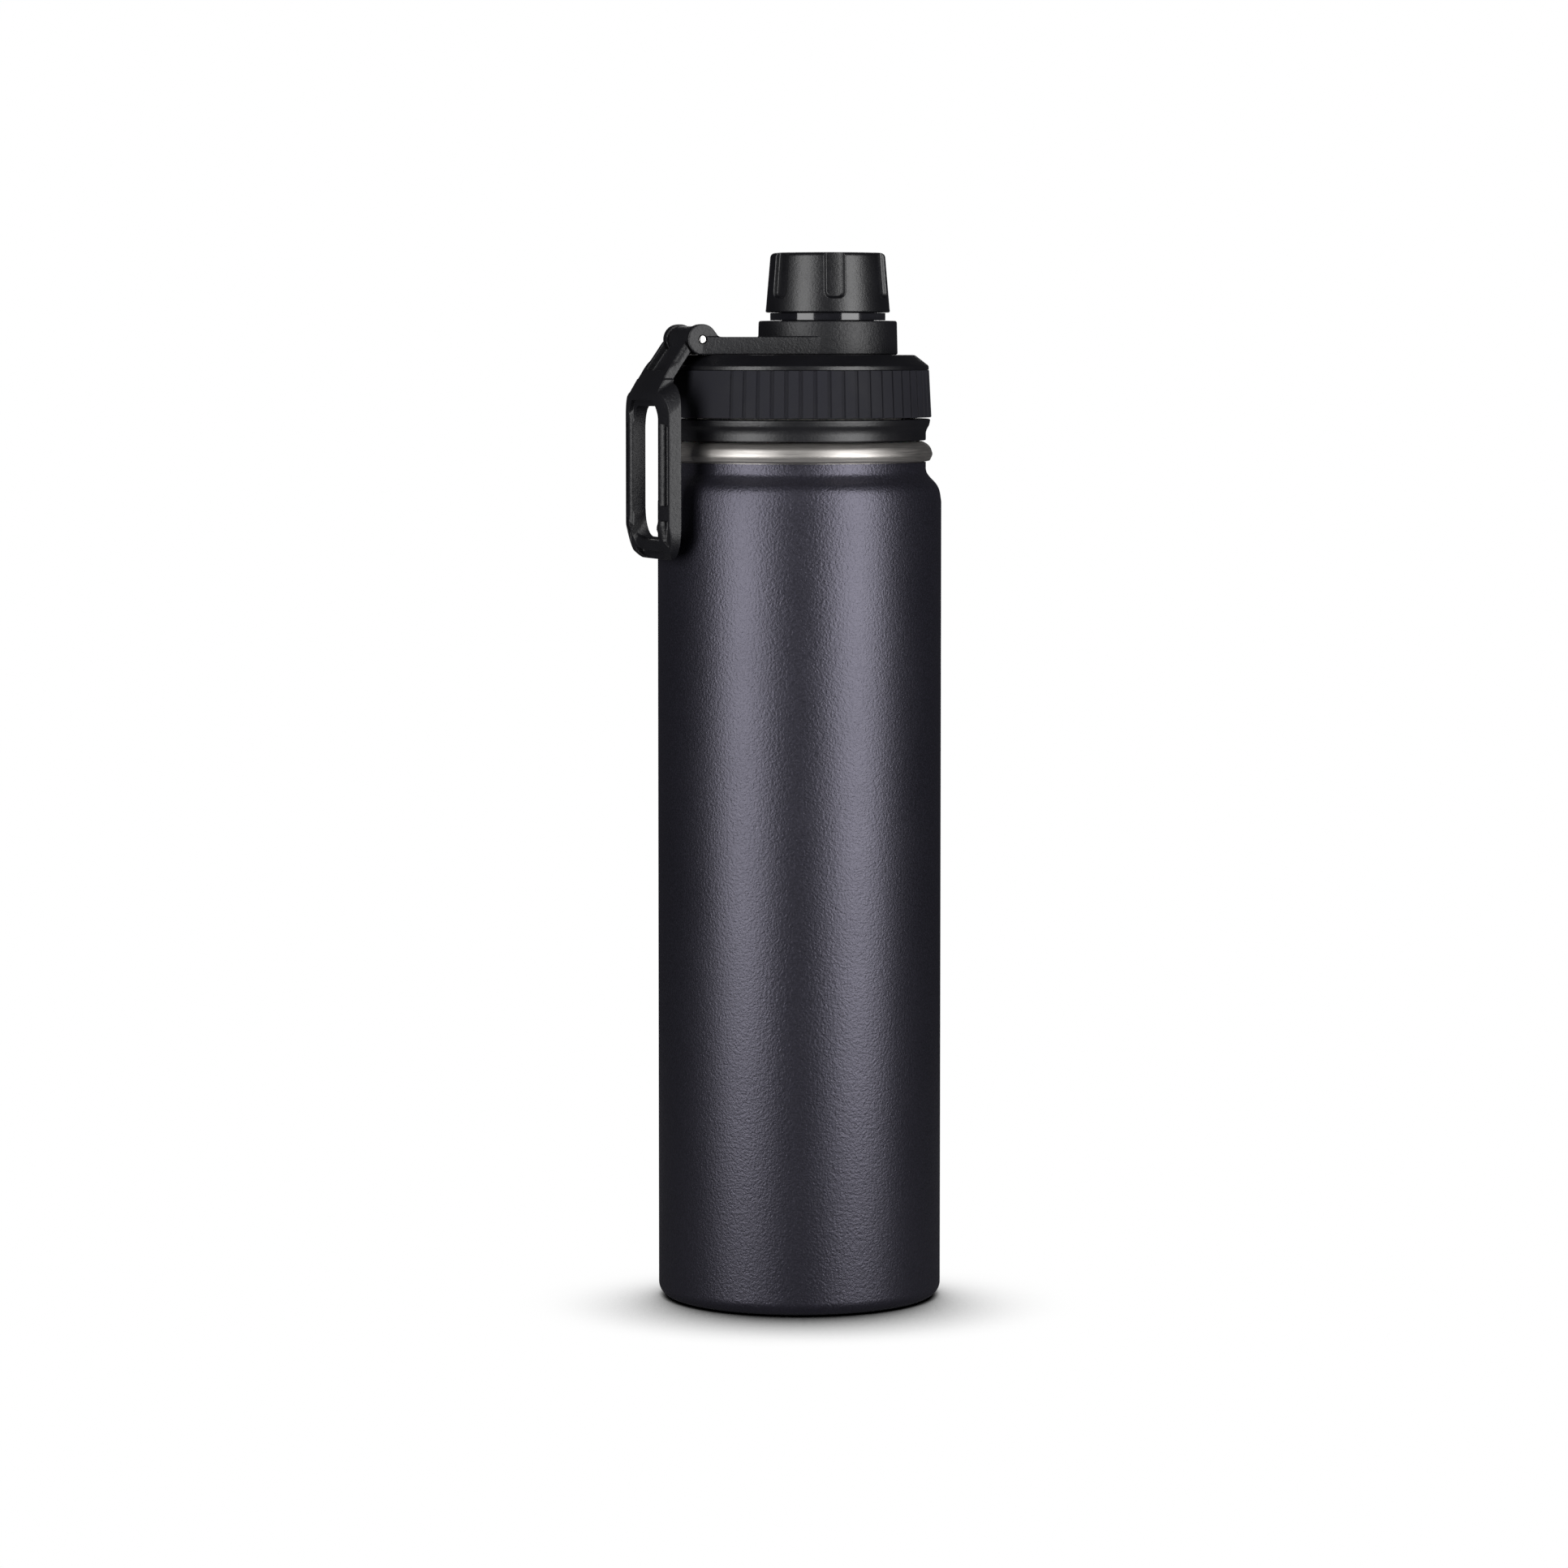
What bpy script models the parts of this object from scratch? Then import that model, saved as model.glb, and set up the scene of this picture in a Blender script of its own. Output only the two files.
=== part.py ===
"""Insulated water bottle with a screw-in lid, a spout under its own cap and a swivelling carry handle.

Metres, +Z up.  The origin is the centre of the flat base.  The bottle and its lid turn about Z, the spout
stands off centre towards +X, and the handle hangs on the -X side.
"""
import math

import bmesh
import bpy
from mathutils import Matrix, Vector

MM = 0.001
GAP = 0.3 * MM                      # clearance kept between neighbouring solids

# Bottle: outside shell, vacuum gap, inside shell
BODY_RADIUS = 36.5 * MM
BASE_CORNER = 3.4 * MM              # radius of the rounded bottom edge
OUTER_WALL = 0.5 * MM
SHOULDER_Z = 205.7 * MM             # where the straight side ends
NECK_RADIUS = 32.5 * MM
NECK_Z = 214.0 * MM
OUTER_TOP_Z = 215.4 * MM
BASE_OPENING = 31.6 * MM            # radius of the hole in the shell's turned-in bottom edge
COVER_THICKNESS = 0.9 * MM
CAVITY_RADIUS = 32.4 * MM
INNER_WALL = 0.5 * MM
INNER_FLOOR_Z = 8.0 * MM            # underside of the inside shell's floor
INNER_SEAM_Z = 15.0 * MM            # where floor and tube of the inside shell are welded
MOUTH_RADIUS = 30.8 * MM
MOUTH_WALL = 0.8 * MM
MOUTH_LOW_Z = 204.0 * MM            # lower end of the straight threaded mouth
LIP_TOP_Z = 221.2 * MM
LIP_RADIUS = 34.2 * MM

# Getter and its clip under the inside floor
GETTER_X = 14.0 * MM
GETTER_RADIUS = 4.0 * MM

# Lid
RING_LOW_Z = 221.5 * MM             # underside of the lid
RING_TOP_Z = 227.0 * MM
BAND_LOW_Z = 227.4 * MM
BAND_TOP_Z = 239.2 * MM
BAND_LOW_RADIUS = 33.9 * MM
BAND_TOP_RADIUS = 33.3 * MM
BAND_BORE = 31.4 * MM
GROOVE_DEPTH = 0.45 * MM
GROOVE_COUNT = 47
GROOVE_PITCH = 6.0                  # degrees
GROOVE_WIDTH = 1.7                  # degrees
PANEL_HALF_ANGLE = 39.0             # degrees of smooth panel each side of the handle
COVER_LOW_Z = 239.5 * MM
LID_TOP_Z = 243.4 * MM
SKIRT_RADIUS = 31.1 * MM
LID_BORE = 29.5 * MM
CORE_ROOT = 29.4 * MM               # bottom of the male thread
CORE_LOW_Z = 201.0 * MM
CORE_BORE = 26.8 * MM

# Spout, its collar and its cap
SPOUT_X = 7.72 * MM                 # the spout stands this far off the bottle's axis
SPOUT_BORE = 9.2 * MM
SPOUT_ROOT = 10.8 * MM              # bottom of the male thread
SPOUT_SHOULDER = 11.9 * MM
SPOUT_TOP_Z = 265.3 * MM
BOSS_BORE = 12.2 * MM
BOSS_RADIUS = 13.4 * MM
BOSS_TOP_Z = 252.1 * MM
COLLAR_BORE = 13.7 * MM
COLLAR_RADIUS = 18.0 * MM
COLLAR_LOW_Z = 243.9 * MM
COLLAR_TOP_Z = 252.1 * MM
RETAINER_RADIUS = 14.8 * MM
RETAINER_LOW_Z = 252.4 * MM
RETAINER_TOP_Z = 253.9 * MM
CAP_LOW_Z = 254.2 * MM
CAP_TOP_Z = 269.5 * MM
CAP_LOW_RADIUS = 16.0 * MM
CAP_TOP_RADIUS = 14.3 * MM
CAP_BORE = 12.9 * MM
CAP_CORNER = 1.3 * MM
CAP_GROOVES = 6
CAP_GROOVE_PHASE = 18.5             # degrees from +X to the first groove
CAP_GROOVE_DEPTH = 1.0 * MM
CAP_GROOVE_FLOOR = 1.75 * MM        # half width at the bottom of a groove
CAP_GROOVE_MOUTH = 2.85 * MM        # half width at the surface
CAP_GROOVE_ARC_Z = 260.75 * MM      # centre of the round lower end
INSERT_RADIUS = 12.6 * MM
INSERT_BORE = 12.0 * MM

# Threads: right-handed, two starts each
LID_LEAD = 8.0 * MM
CAP_LEAD = 6.0 * MM
STARTS = 2
THREAD_TURNS = 1.25
THREAD_SINK = 0.35 * MM             # how deep a ridge's root goes into its wall
RUN_OUT_TURNS = 0.12                # stretch over which a ridge rises from its wall

# Swivel arm, hinge and handle
HINGE_X = -29.8 * MM
HINGE_Z = 247.3 * MM
ARM_TOP_Z = 247.95 * MM
ARM_ROOT_Y = 16.1 * MM
EAR_OUTER_Y = 10.0 * MM
EAR_INNER_Y = 7.2 * MM
EAR_RADIUS = 3.9 * MM
EAR_SLOT_X = -24.6 * MM             # closed end of the slot between the ears
PIN_HOLE = 1.22 * MM
PIN_RADIUS = 1.0 * MM
PIN_END_Y = 8.6 * MM
BARREL_RADIUS = 3.4 * MM
BARREL_HALF = 6.9 * MM
EAR_CLEARANCE = 4.45 * MM           # radius kept free of the handle round each ear
HANDLE_HALF = 17.5 * MM
HANDLE_FRONT_X = -43.4 * MM
HANDLE_BACK_X = -38.5 * MM
HANDLE_LOW_Z = 190.6 * MM
HANDLE_SIDE_LOW_Z = 191.5 * MM
HANDLE_SHOULDER_Z = 237.3 * MM
HANDLE_CROWN = 74.0 * MM            # radius of the crowned front, seen from above
HANDLE_CORNER = 10.5 * MM
WINDOW_HALF = 10.5 * MM
WINDOW_LOW_Z = 196.0 * MM
WINDOW_TOP_Z = 230.4 * MM
POCKET_FLOOR_X = -40.7 * MM

BODY_STEPS = 48
LID_STEPS = 36
INNER_STEPS = 28

AXES = {
    "bottle_axis": (0.0, 0.0, 0.0),
    "lid_axis": (0.0, 0.0, RING_LOW_Z),
    "spout_axis": (SPOUT_X, 0.0, COLLAR_LOW_Z),
    "hinge_axis": (HINGE_X, 0.0, HINGE_Z),
}

# colour, roughness, metallic
FINISHES = {
    "powder_coat": ((0.022, 0.022, 0.031), 0.42, 0.0),
    "steel": ((0.46, 0.44, 0.42), 0.34, 1.0),
    "pin_steel": ((0.62, 0.61, 0.60), 0.18, 1.0),
    "getter_metal": ((0.30, 0.29, 0.28), 0.55, 1.0),
    "solder_glass": ((0.10, 0.10, 0.11), 0.30, 0.0),
    "satin_black": ((0.012, 0.012, 0.014), 0.38, 0.0),
    "gloss_black": ((0.010, 0.010, 0.012), 0.12, 0.0),
    "band_rubber": ((0.020, 0.020, 0.027), 0.62, 0.0),
    "inner_plastic": ((0.020, 0.020, 0.022), 0.45, 0.0),
    "foam": ((0.62, 0.60, 0.55), 0.90, 0.0),
    "silicone": ((0.50, 0.51, 0.52), 0.55, 0.0),
}


def clear_scene():
    for item in list(bpy.data.objects):
        bpy.data.objects.remove(item, do_unlink=True)


def finish_material(finish):
    material = bpy.data.materials.get(finish)
    if material:
        return material
    colour, roughness, metallic = FINISHES[finish]
    material = bpy.data.materials.new(finish)
    material.use_nodes = True
    shader = material.node_tree.nodes["Principled BSDF"]
    shader.inputs["Base Color"].default_value = (*colour, 1.0)
    shader.inputs["Roughness"].default_value = roughness
    shader.inputs["Metallic"].default_value = metallic
    return material


def make_axes():
    """The empties that the pieces hang from: lid on bottle, spout on lid, hinge on spout."""
    parent = None
    for name, place in AXES.items():
        empty = bpy.data.objects.new(name, None)
        empty.empty_display_size = 0.01
        bpy.context.collection.objects.link(empty)
        empty.parent = parent
        above = AXES[parent.name] if parent else (0.0, 0.0, 0.0)
        empty.location = Vector(place) - Vector(above)
        parent = empty


def add_object(name, bm, axis):
    """Turn bm, drawn in world places, into an object whose origin is on the named axis."""
    bmesh.ops.recalc_face_normals(bm, faces=bm.faces)
    bmesh.ops.translate(bm, verts=bm.verts, vec=-Vector(AXES[axis]))
    mesh = bpy.data.meshes.new(name)
    bm.to_mesh(mesh)
    bm.free()
    item = bpy.data.objects.new(name, mesh)
    bpy.context.collection.objects.link(item)
    item.parent = bpy.data.objects[axis]
    return item


def add_piece(name, bm, finish, axis):
    piece = add_object(name, bm, axis)
    piece.data.materials.append(finish_material(finish))
    piece.data.shade_smooth()
    piece.data.set_sharp_from_angle(angle=math.radians(32))
    return piece


def combine(piece, operation, name, bm):
    """Join bm to the piece, cut it away or keep what both share, with a hidden guide object."""
    guide = add_object(name, bm, piece.parent.name)
    guide.hide_render = True
    guide.display_type = "WIRE"
    modifier = piece.modifiers.new(name, "BOOLEAN")
    modifier.operation = operation
    modifier.object = guide
    modifier.solver = "EXACT"


def arc(centre, radius, start, stop, steps):
    """Points of an arc in an outline's own plane, with both ends; angles in degrees."""
    points = []
    for step in range(steps + 1):
        angle = math.radians(start + (stop - start) * step / steps)
        points.append((centre[0] + radius * math.cos(angle), centre[1] + radius * math.sin(angle)))
    return points


def rounded(corners, steps=5):
    """Closed outline through (a, b, radius) corners, each with radius turned into an arc."""
    points = []
    count = len(corners)
    for index, (a, b, radius) in enumerate(corners):
        here = Vector((a, b))
        if radius == 0.0:
            points.append((a, b))
            continue
        back = (Vector(corners[index - 1][:2]) - here).normalized()
        ahead = (Vector(corners[(index + 1) % count][:2]) - here).normalized()
        half = back.angle(ahead) / 2.0
        centre = here + (back + ahead).normalized() * (radius / math.sin(half))
        start = here + back * (radius / math.tan(half)) - centre
        turn = start.angle_signed(here + ahead * (radius / math.tan(half)) - centre)
        for step in range(steps + 1):
            spoke = start.copy()
            spoke.rotate(Matrix.Rotation(-turn * step / steps, 2))
            points.append((centre.x + spoke.x, centre.y + spoke.y))
    return points


def mirrored(half_corners):
    """Both sides of a symmetric outline, from the corners of its side at positive a, top to bottom."""
    other = [(-a, b, radius) for a, b, radius in reversed(half_corners) if a > 0.0]
    return half_corners + other


def turned(profile, steps, axis_x=0.0):
    """Solid swept by a closed (radius, height) outline round the vertical axis through axis_x."""
    bm = bmesh.new()
    rings = []
    for radius, height in profile:
        count = steps if radius > 0.0 else 1
        ring = []
        for index in range(count):
            angle = 2.0 * math.pi * index / steps
            spot = (axis_x + radius * math.cos(angle), radius * math.sin(angle), height)
            ring.append(bm.verts.new(spot))
        rings.append(ring)
    for ring, following in zip(rings, rings[1:] + rings[:1]):
        for index in range(steps):
            corners = [ring[index % len(ring)], ring[(index + 1) % len(ring)]]
            corners += [following[(index + 1) % len(following)], following[index % len(following)]]
            corners = list(dict.fromkeys(corners))
            if len(corners) > 2:
                bm.faces.new(corners)
    return bm


def tube(inner, outer, low, high, steps, axis_x=0.0):
    return turned([(inner, low), (outer, low), (outer, high), (inner, high)], steps, axis_x)


def rod(radius, low, high, steps, axis_x=0.0):
    return turned([(0.0, low), (radius, low), (radius, high), (0.0, high)], steps, axis_x)


def cross_rod(radius, low, high, steps):
    """Round rod along Y, centred on the hinge."""
    bm = rod(radius, low, high, steps)
    bm.transform(Matrix.Translation((HINGE_X, 0.0, HINGE_Z)) @ Matrix.Rotation(-math.pi / 2.0, 4, "X"))
    return bm


def prism(outline, direction, low, high):
    """Solid of an outline pushed along an axis: (x, y) along Z, (x, z) along Y or (y, z) along X."""
    place = {
        "X": lambda a, b, depth: (depth, a, b),
        "Y": lambda a, b, depth: (a, depth, b),
        "Z": lambda a, b, depth: (a, b, depth),
    }[direction]
    bm = bmesh.new()
    near = [bm.verts.new(place(a, b, low)) for a, b in outline]
    far = [bm.verts.new(place(a, b, high)) for a, b in outline]
    bm.faces.new(near)
    bm.faces.new(far)
    count = len(outline)
    for index in range(count):
        following = (index + 1) % count
        bm.faces.new((near[index], near[following], far[following], far[index]))
    return bm


def joined(first, second):
    """One bmesh that holds the faces of both."""
    mesh = bpy.data.meshes.new("joined")
    second.to_mesh(mesh)
    first.from_mesh(mesh)
    second.free()
    bpy.data.meshes.remove(mesh)
    return first


def thread(wall_radius, crest_radius, low_z, lead, foot, crest, axis_x=0.0):
    """Two-start helical ridge on a round wall; its ends fade into the wall."""
    bm = bmesh.new()
    sink = math.copysign(THREAD_SINK, wall_radius - crest_radius)
    steps = round(THREAD_TURNS * INNER_STEPS)
    for start in range(STARTS):
        sections = []
        for step in range(steps + 1):
            turn = step / INNER_STEPS
            angle = 2.0 * math.pi * (turn + start / STARTS)
            middle = low_z + lead * turn
            rise = min(1.0, turn / RUN_OUT_TURNS, (THREAD_TURNS - turn) / RUN_OUT_TURNS)
            top = wall_radius + (crest_radius - wall_radius) * rise + sink * 0.6 * (1.0 - rise)
            root = wall_radius + sink
            section = []
            for radius, offset in ((root, -foot), (top, -crest), (top, crest), (root, foot)):
                spot = (axis_x + radius * math.cos(angle), radius * math.sin(angle), middle + offset / 2.0)
                section.append(bm.verts.new(spot))
            sections.append(section)
        for section, following in zip(sections, sections[1:]):
            for side in range(4):
                after = (side + 1) % 4
                bm.faces.new((section[side], section[after], following[after], following[side]))
        bm.faces.new(sections[0])
        bm.faces.new(sections[-1])
    return bm


def make_outer_shell():
    outside = [(BASE_OPENING, 0.0)]
    outside += arc((BODY_RADIUS - BASE_CORNER, BASE_CORNER), BASE_CORNER, -90, 0, 4)
    outside += [(BODY_RADIUS, SHOULDER_Z), (36.0 * MM, 208.7 * MM), (35.1 * MM, 210.4 * MM)]
    outside += [(33.7 * MM, 211.9 * MM), (32.8 * MM, 213.1 * MM), (NECK_RADIUS, NECK_Z)]
    outside += [(NECK_RADIUS, OUTER_TOP_Z)]
    inside = [(NECK_RADIUS - OUTER_WALL, OUTER_TOP_Z), (NECK_RADIUS - OUTER_WALL, NECK_Z - 0.2 * MM)]
    inside += [(33.3 * MM, 211.6 * MM), (34.8 * MM, 209.9 * MM), (BODY_RADIUS - OUTER_WALL, SHOULDER_Z)]
    inside += arc((BODY_RADIUS - BASE_CORNER, BASE_CORNER), BASE_CORNER - OUTER_WALL, 0, -90, 2)
    inside += [(BASE_OPENING, OUTER_WALL)]
    add_piece("outer_shell", turned(outside + inside, BODY_STEPS), "powder_coat", "bottle_axis")


def make_base_cover():
    """Flat disc that closes the bottom and hides the vacuum port; the bottle stands on it."""
    bm = rod(BASE_OPENING - GAP, 0.0, COVER_THICKNESS, INNER_STEPS)
    add_piece("base_cover", bm, "powder_coat", "bottle_axis")


def make_outer_base():
    """Pressed cup welded inside the outer shell, with the vacuum port in its middle."""
    low = COVER_THICKNESS + GAP
    wall = BODY_RADIUS - OUTER_WALL - GAP
    rim = wall - 0.6 * MM
    profile = [(1.6 * MM, low), (32.0 * MM, low), (34.6 * MM, low + 2.4 * MM), (wall, low + 3.8 * MM)]
    profile += [(wall, low + 6.0 * MM), (rim, low + 6.0 * MM), (rim, low + 3.9 * MM)]
    profile += [(31.6 * MM, low + 0.7 * MM), (1.6 * MM, low + 0.7 * MM)]
    add_piece("outer_base", turned(profile, LID_STEPS), "steel", "bottle_axis")


def make_vacuum_seal_plug():
    low = COVER_THICKNESS + GAP
    profile = [(0.0, low), (1.3 * MM, low), (1.3 * MM, low + 1.0 * MM), (2.4 * MM, low + 1.0 * MM)]
    profile += [(2.0 * MM, low + 1.8 * MM), (0.0, low + 2.1 * MM)]
    add_piece("vacuum_seal_plug", turned(profile, 24), "solder_glass", "bottle_axis")


def make_inner_base():
    """Floor of the inside shell: a shallow cup with a rounded corner."""
    outer = CAVITY_RADIUS + INNER_WALL
    corner = INNER_SEAM_Z - INNER_FLOOR_Z
    outside = [(0.0, INNER_FLOOR_Z)]
    outside += arc((outer - corner, INNER_SEAM_Z), corner, -90, 0, 4)
    inside = arc((outer - corner, INNER_SEAM_Z), corner - INNER_WALL, 0, -90, 4)
    inside += [(0.0, INNER_FLOOR_Z + INNER_WALL)]
    add_piece("inner_base", turned(outside + inside, LID_STEPS), "steel", "bottle_axis")


def make_inner_shell():
    """Inside tube, threaded mouth and the rolled lip that both shells share."""
    tube_outer = CAVITY_RADIUS + INNER_WALL
    mouth_outer = MOUTH_RADIUS + MOUTH_WALL
    outside = [(tube_outer, INNER_SEAM_Z + GAP), (tube_outer, 199.0 * MM), (mouth_outer, MOUTH_LOW_Z + 0.4 * MM)]
    outside += [(mouth_outer, 215.7 * MM), (32.6 * MM, 215.7 * MM), (33.7 * MM, 217.5 * MM)]
    outside += [(LIP_RADIUS, 219.0 * MM), (33.8 * MM, 219.9 * MM), (32.8 * MM, 220.7 * MM)]
    outside += [(31.6 * MM, LIP_TOP_Z), (31.1 * MM, 221.05 * MM), (MOUTH_RADIUS, 220.5 * MM)]
    inside = [(MOUTH_RADIUS, MOUTH_LOW_Z), (CAVITY_RADIUS, 198.6 * MM), (CAVITY_RADIUS, INNER_SEAM_Z + GAP)]
    shell = add_piece("inner_shell", turned(outside + inside, BODY_STEPS), "steel", "bottle_axis")
    ridge = thread(MOUTH_RADIUS, MOUTH_RADIUS - 1.0 * MM, 206.4 * MM, LID_LEAD, 1.7 * MM, 0.9 * MM)
    combine(shell, "UNION", "mouth_thread", ridge)


def make_getter():
    bm = rod(GETTER_RADIUS, 4.9 * MM, 6.9 * MM, 24, GETTER_X)
    add_piece("getter", bm, "getter_metal", "bottle_axis")


def make_getter_clip():
    """Cup spot-welded under the inside floor; its open bottom leaves the getter's face bare."""
    inner = GETTER_RADIUS + GAP
    outer = inner + 0.4 * MM
    profile = [(2.6 * MM, 4.2 * MM), (outer, 4.2 * MM), (outer, 7.3 * MM), (6.4 * MM, 7.3 * MM)]
    profile += [(6.4 * MM, 7.7 * MM), (inner, 7.7 * MM), (inner, 4.6 * MM), (2.6 * MM, 4.6 * MM)]
    add_piece("getter_clip", turned(profile, 24, GETTER_X), "steel", "bottle_axis")


def make_lid_base_ring():
    """Waisted ring at the foot of the lid."""
    profile = [(LID_BORE, RING_LOW_Z), (32.3 * MM, RING_LOW_Z), (32.5 * MM, RING_LOW_Z + 0.3 * MM)]
    profile += [(32.5 * MM, 223.4 * MM), (32.8 * MM, 224.3 * MM), (33.5 * MM, 225.8 * MM)]
    profile += [(33.5 * MM, 226.6 * MM), (33.0 * MM, RING_TOP_Z), (LID_BORE, RING_TOP_Z)]
    add_piece("lid_base_ring", turned(profile, LID_STEPS), "satin_black", "lid_axis")


def band_columns():
    """(angle in degrees, depth) round the band: plain panel at the handle, then groove after groove."""
    columns = []
    for step in range(8):
        columns.append((180.0 - PANEL_HALF_ANGLE + 2.0 * PANEL_HALF_ANGLE * step / 7.0, 0.0))
    first = 180.0 + PANEL_HALF_ANGLE + GROOVE_PITCH / 2.0
    for index in range(GROOVE_COUNT):
        middle = first + GROOVE_PITCH * index
        columns.append((middle - GROOVE_WIDTH / 2.0, 0.0))
        columns.append((middle - GROOVE_WIDTH / 4.0, GROOVE_DEPTH))
        columns.append((middle + GROOVE_WIDTH / 4.0, GROOVE_DEPTH))
        columns.append((middle + GROOVE_WIDTH / 2.0, 0.0))
    return columns


def make_grip_band():
    bm = bmesh.new()
    sections = []
    for degrees, depth in band_columns():
        angle = math.radians(degrees)
        corners = [(BAND_BORE, BAND_LOW_Z), (BAND_LOW_RADIUS - depth, BAND_LOW_Z)]
        corners += [(BAND_TOP_RADIUS - depth, BAND_TOP_Z), (BAND_BORE, BAND_TOP_Z)]
        spots = [(radius * math.cos(angle), radius * math.sin(angle), height) for radius, height in corners]
        sections.append([bm.verts.new(spot) for spot in spots])
    for section, following in zip(sections, sections[1:] + sections[:1]):
        for side in range(4):
            after = (side + 1) % 4
            bm.faces.new((section[side], section[after], following[after], following[side]))
    add_piece("grip_band", bm, "band_rubber", "lid_axis")


def make_lid_cover():
    """Top moulding: skirt inside the grip band, flat top and the boss that the collar turns on."""
    under = LID_TOP_Z - 2.0 * MM
    profile = [(LID_BORE, RING_TOP_Z + GAP), (SKIRT_RADIUS, RING_TOP_Z + GAP), (SKIRT_RADIUS, COVER_LOW_Z)]
    profile += [(33.2 * MM, COVER_LOW_Z), (33.1 * MM, 240.4 * MM), (32.2 * MM, 241.6 * MM)]
    profile += [(31.2 * MM, 242.5 * MM), (29.4 * MM, LID_TOP_Z), (0.0, LID_TOP_Z), (0.0, under)]
    profile += [(LID_BORE - 1.0 * MM, under), (LID_BORE, under - 1.0 * MM)]
    cover = add_piece("lid_cover", turned(profile, LID_STEPS), "satin_black", "lid_axis")
    boss = rod(BOSS_RADIUS, LID_TOP_Z - 1.0 * MM, BOSS_TOP_Z, LID_STEPS, SPOUT_X)
    combine(cover, "UNION", "cover_boss", boss)
    bore = rod(BOSS_BORE, under - 5.0 * MM, BOSS_TOP_Z + 5.0 * MM, INNER_STEPS, SPOUT_X)
    combine(cover, "DIFFERENCE", "cover_bore", bore)


def make_lid_core():
    """Threaded plug that screws into the mouth; the gasket sits in the groove above the thread."""
    profile = [(CORE_BORE, CORE_LOW_Z), (CORE_ROOT - 0.6 * MM, CORE_LOW_Z), (CORE_ROOT, CORE_LOW_Z + 0.6 * MM)]
    profile += [(CORE_ROOT, 216.2 * MM), (28.2 * MM, 216.8 * MM), (28.2 * MM, RING_LOW_Z)]
    profile += [(LID_BORE - GAP, RING_LOW_Z), (LID_BORE - GAP, 226.6 * MM), (CORE_BORE, 226.6 * MM)]
    core = add_piece("lid_core", turned(profile, LID_STEPS), "inner_plastic", "lid_axis")
    ridge = thread(CORE_ROOT, CORE_ROOT + 1.0 * MM, 204.4 * MM, LID_LEAD, 1.7 * MM, 0.9 * MM)
    combine(core, "UNION", "core_thread", ridge)


def make_lid_insulation():
    foam = add_piece("lid_insulation", rod(CORE_BORE - GAP, 203.1 * MM, 237.4 * MM, INNER_STEPS), "foam", "lid_axis")
    hole = rod(SPOUT_ROOT + GAP, 200.0 * MM, 240.0 * MM, INNER_STEPS, SPOUT_X)
    combine(foam, "DIFFERENCE", "insulation_hole", hole)


def make_lid_bottom_plate():
    plate = rod(CORE_BORE - GAP, CORE_LOW_Z, 202.8 * MM, INNER_STEPS)
    piece = add_piece("lid_bottom_plate", plate, "inner_plastic", "lid_axis")
    hole = rod(SPOUT_ROOT + GAP, 200.0 * MM, 204.0 * MM, INNER_STEPS, SPOUT_X)
    combine(piece, "DIFFERENCE", "plate_hole", hole)


def make_lid_gasket():
    """Ring with two sealing lips in the mouth, above the thread."""
    outer = MOUTH_RADIUS - GAP
    inner = 28.2 * MM + GAP
    profile = [(inner, 217.2 * MM), (outer - 0.5 * MM, 217.2 * MM), (outer, 217.9 * MM)]
    profile += [(outer - 0.5 * MM, 218.8 * MM), (outer, 219.7 * MM), (outer - 0.3 * MM, 220.6 * MM)]
    profile += [(outer - 0.3 * MM, 221.2 * MM), (inner, 221.2 * MM)]
    add_piece("lid_gasket", turned(profile, LID_STEPS), "silicone", "lid_axis")


def make_spout():
    """Drinking spout: one tube from the lid's underside to the lip, with a flange inside the lid."""
    rim = SPOUT_ROOT - 0.5 * MM
    profile = [(SPOUT_BORE, CORE_LOW_Z), (SPOUT_ROOT, CORE_LOW_Z), (SPOUT_ROOT, 238.3 * MM), (15.6 * MM, 238.3 * MM)]
    profile += [(15.6 * MM, 239.9 * MM), (SPOUT_SHOULDER, 239.9 * MM), (SPOUT_SHOULDER, 254.6 * MM)]
    profile += [(SPOUT_ROOT, 255.3 * MM), (SPOUT_ROOT, SPOUT_TOP_Z - 0.6 * MM), (rim, SPOUT_TOP_Z)]
    profile += [(SPOUT_BORE + 0.4 * MM, SPOUT_TOP_Z), (SPOUT_BORE, SPOUT_TOP_Z - 0.5 * MM)]
    spout = add_piece("spout", turned(profile, INNER_STEPS, SPOUT_X), "inner_plastic", "spout_axis")
    ridge = thread(SPOUT_ROOT, SPOUT_ROOT + 0.8 * MM, 256.4 * MM, CAP_LEAD, 1.3 * MM, 0.6 * MM, SPOUT_X)
    combine(spout, "UNION", "spout_thread", ridge)


def make_spout_seal_ring():
    """O-ring between the spout's flange and the underside of the cover."""
    outline = arc((13.8 * MM, 240.8 * MM), 0.55 * MM, 0, 300, 5)
    add_piece("spout_seal_ring", turned(outline, INNER_STEPS, SPOUT_X), "silicone", "spout_axis")


def make_collar_retainer():
    """Glossy ring on the boss that keeps the swivel collar down."""
    edge = 0.3 * MM
    profile = [(BOSS_BORE, RETAINER_LOW_Z), (RETAINER_RADIUS - edge, RETAINER_LOW_Z)]
    profile += [(RETAINER_RADIUS, RETAINER_LOW_Z + edge), (RETAINER_RADIUS, RETAINER_TOP_Z - edge)]
    profile += [(RETAINER_RADIUS - edge, RETAINER_TOP_Z), (BOSS_BORE, RETAINER_TOP_Z)]
    add_piece("collar_retainer", turned(profile, LID_STEPS, SPOUT_X), "gloss_black", "spout_axis")


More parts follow.
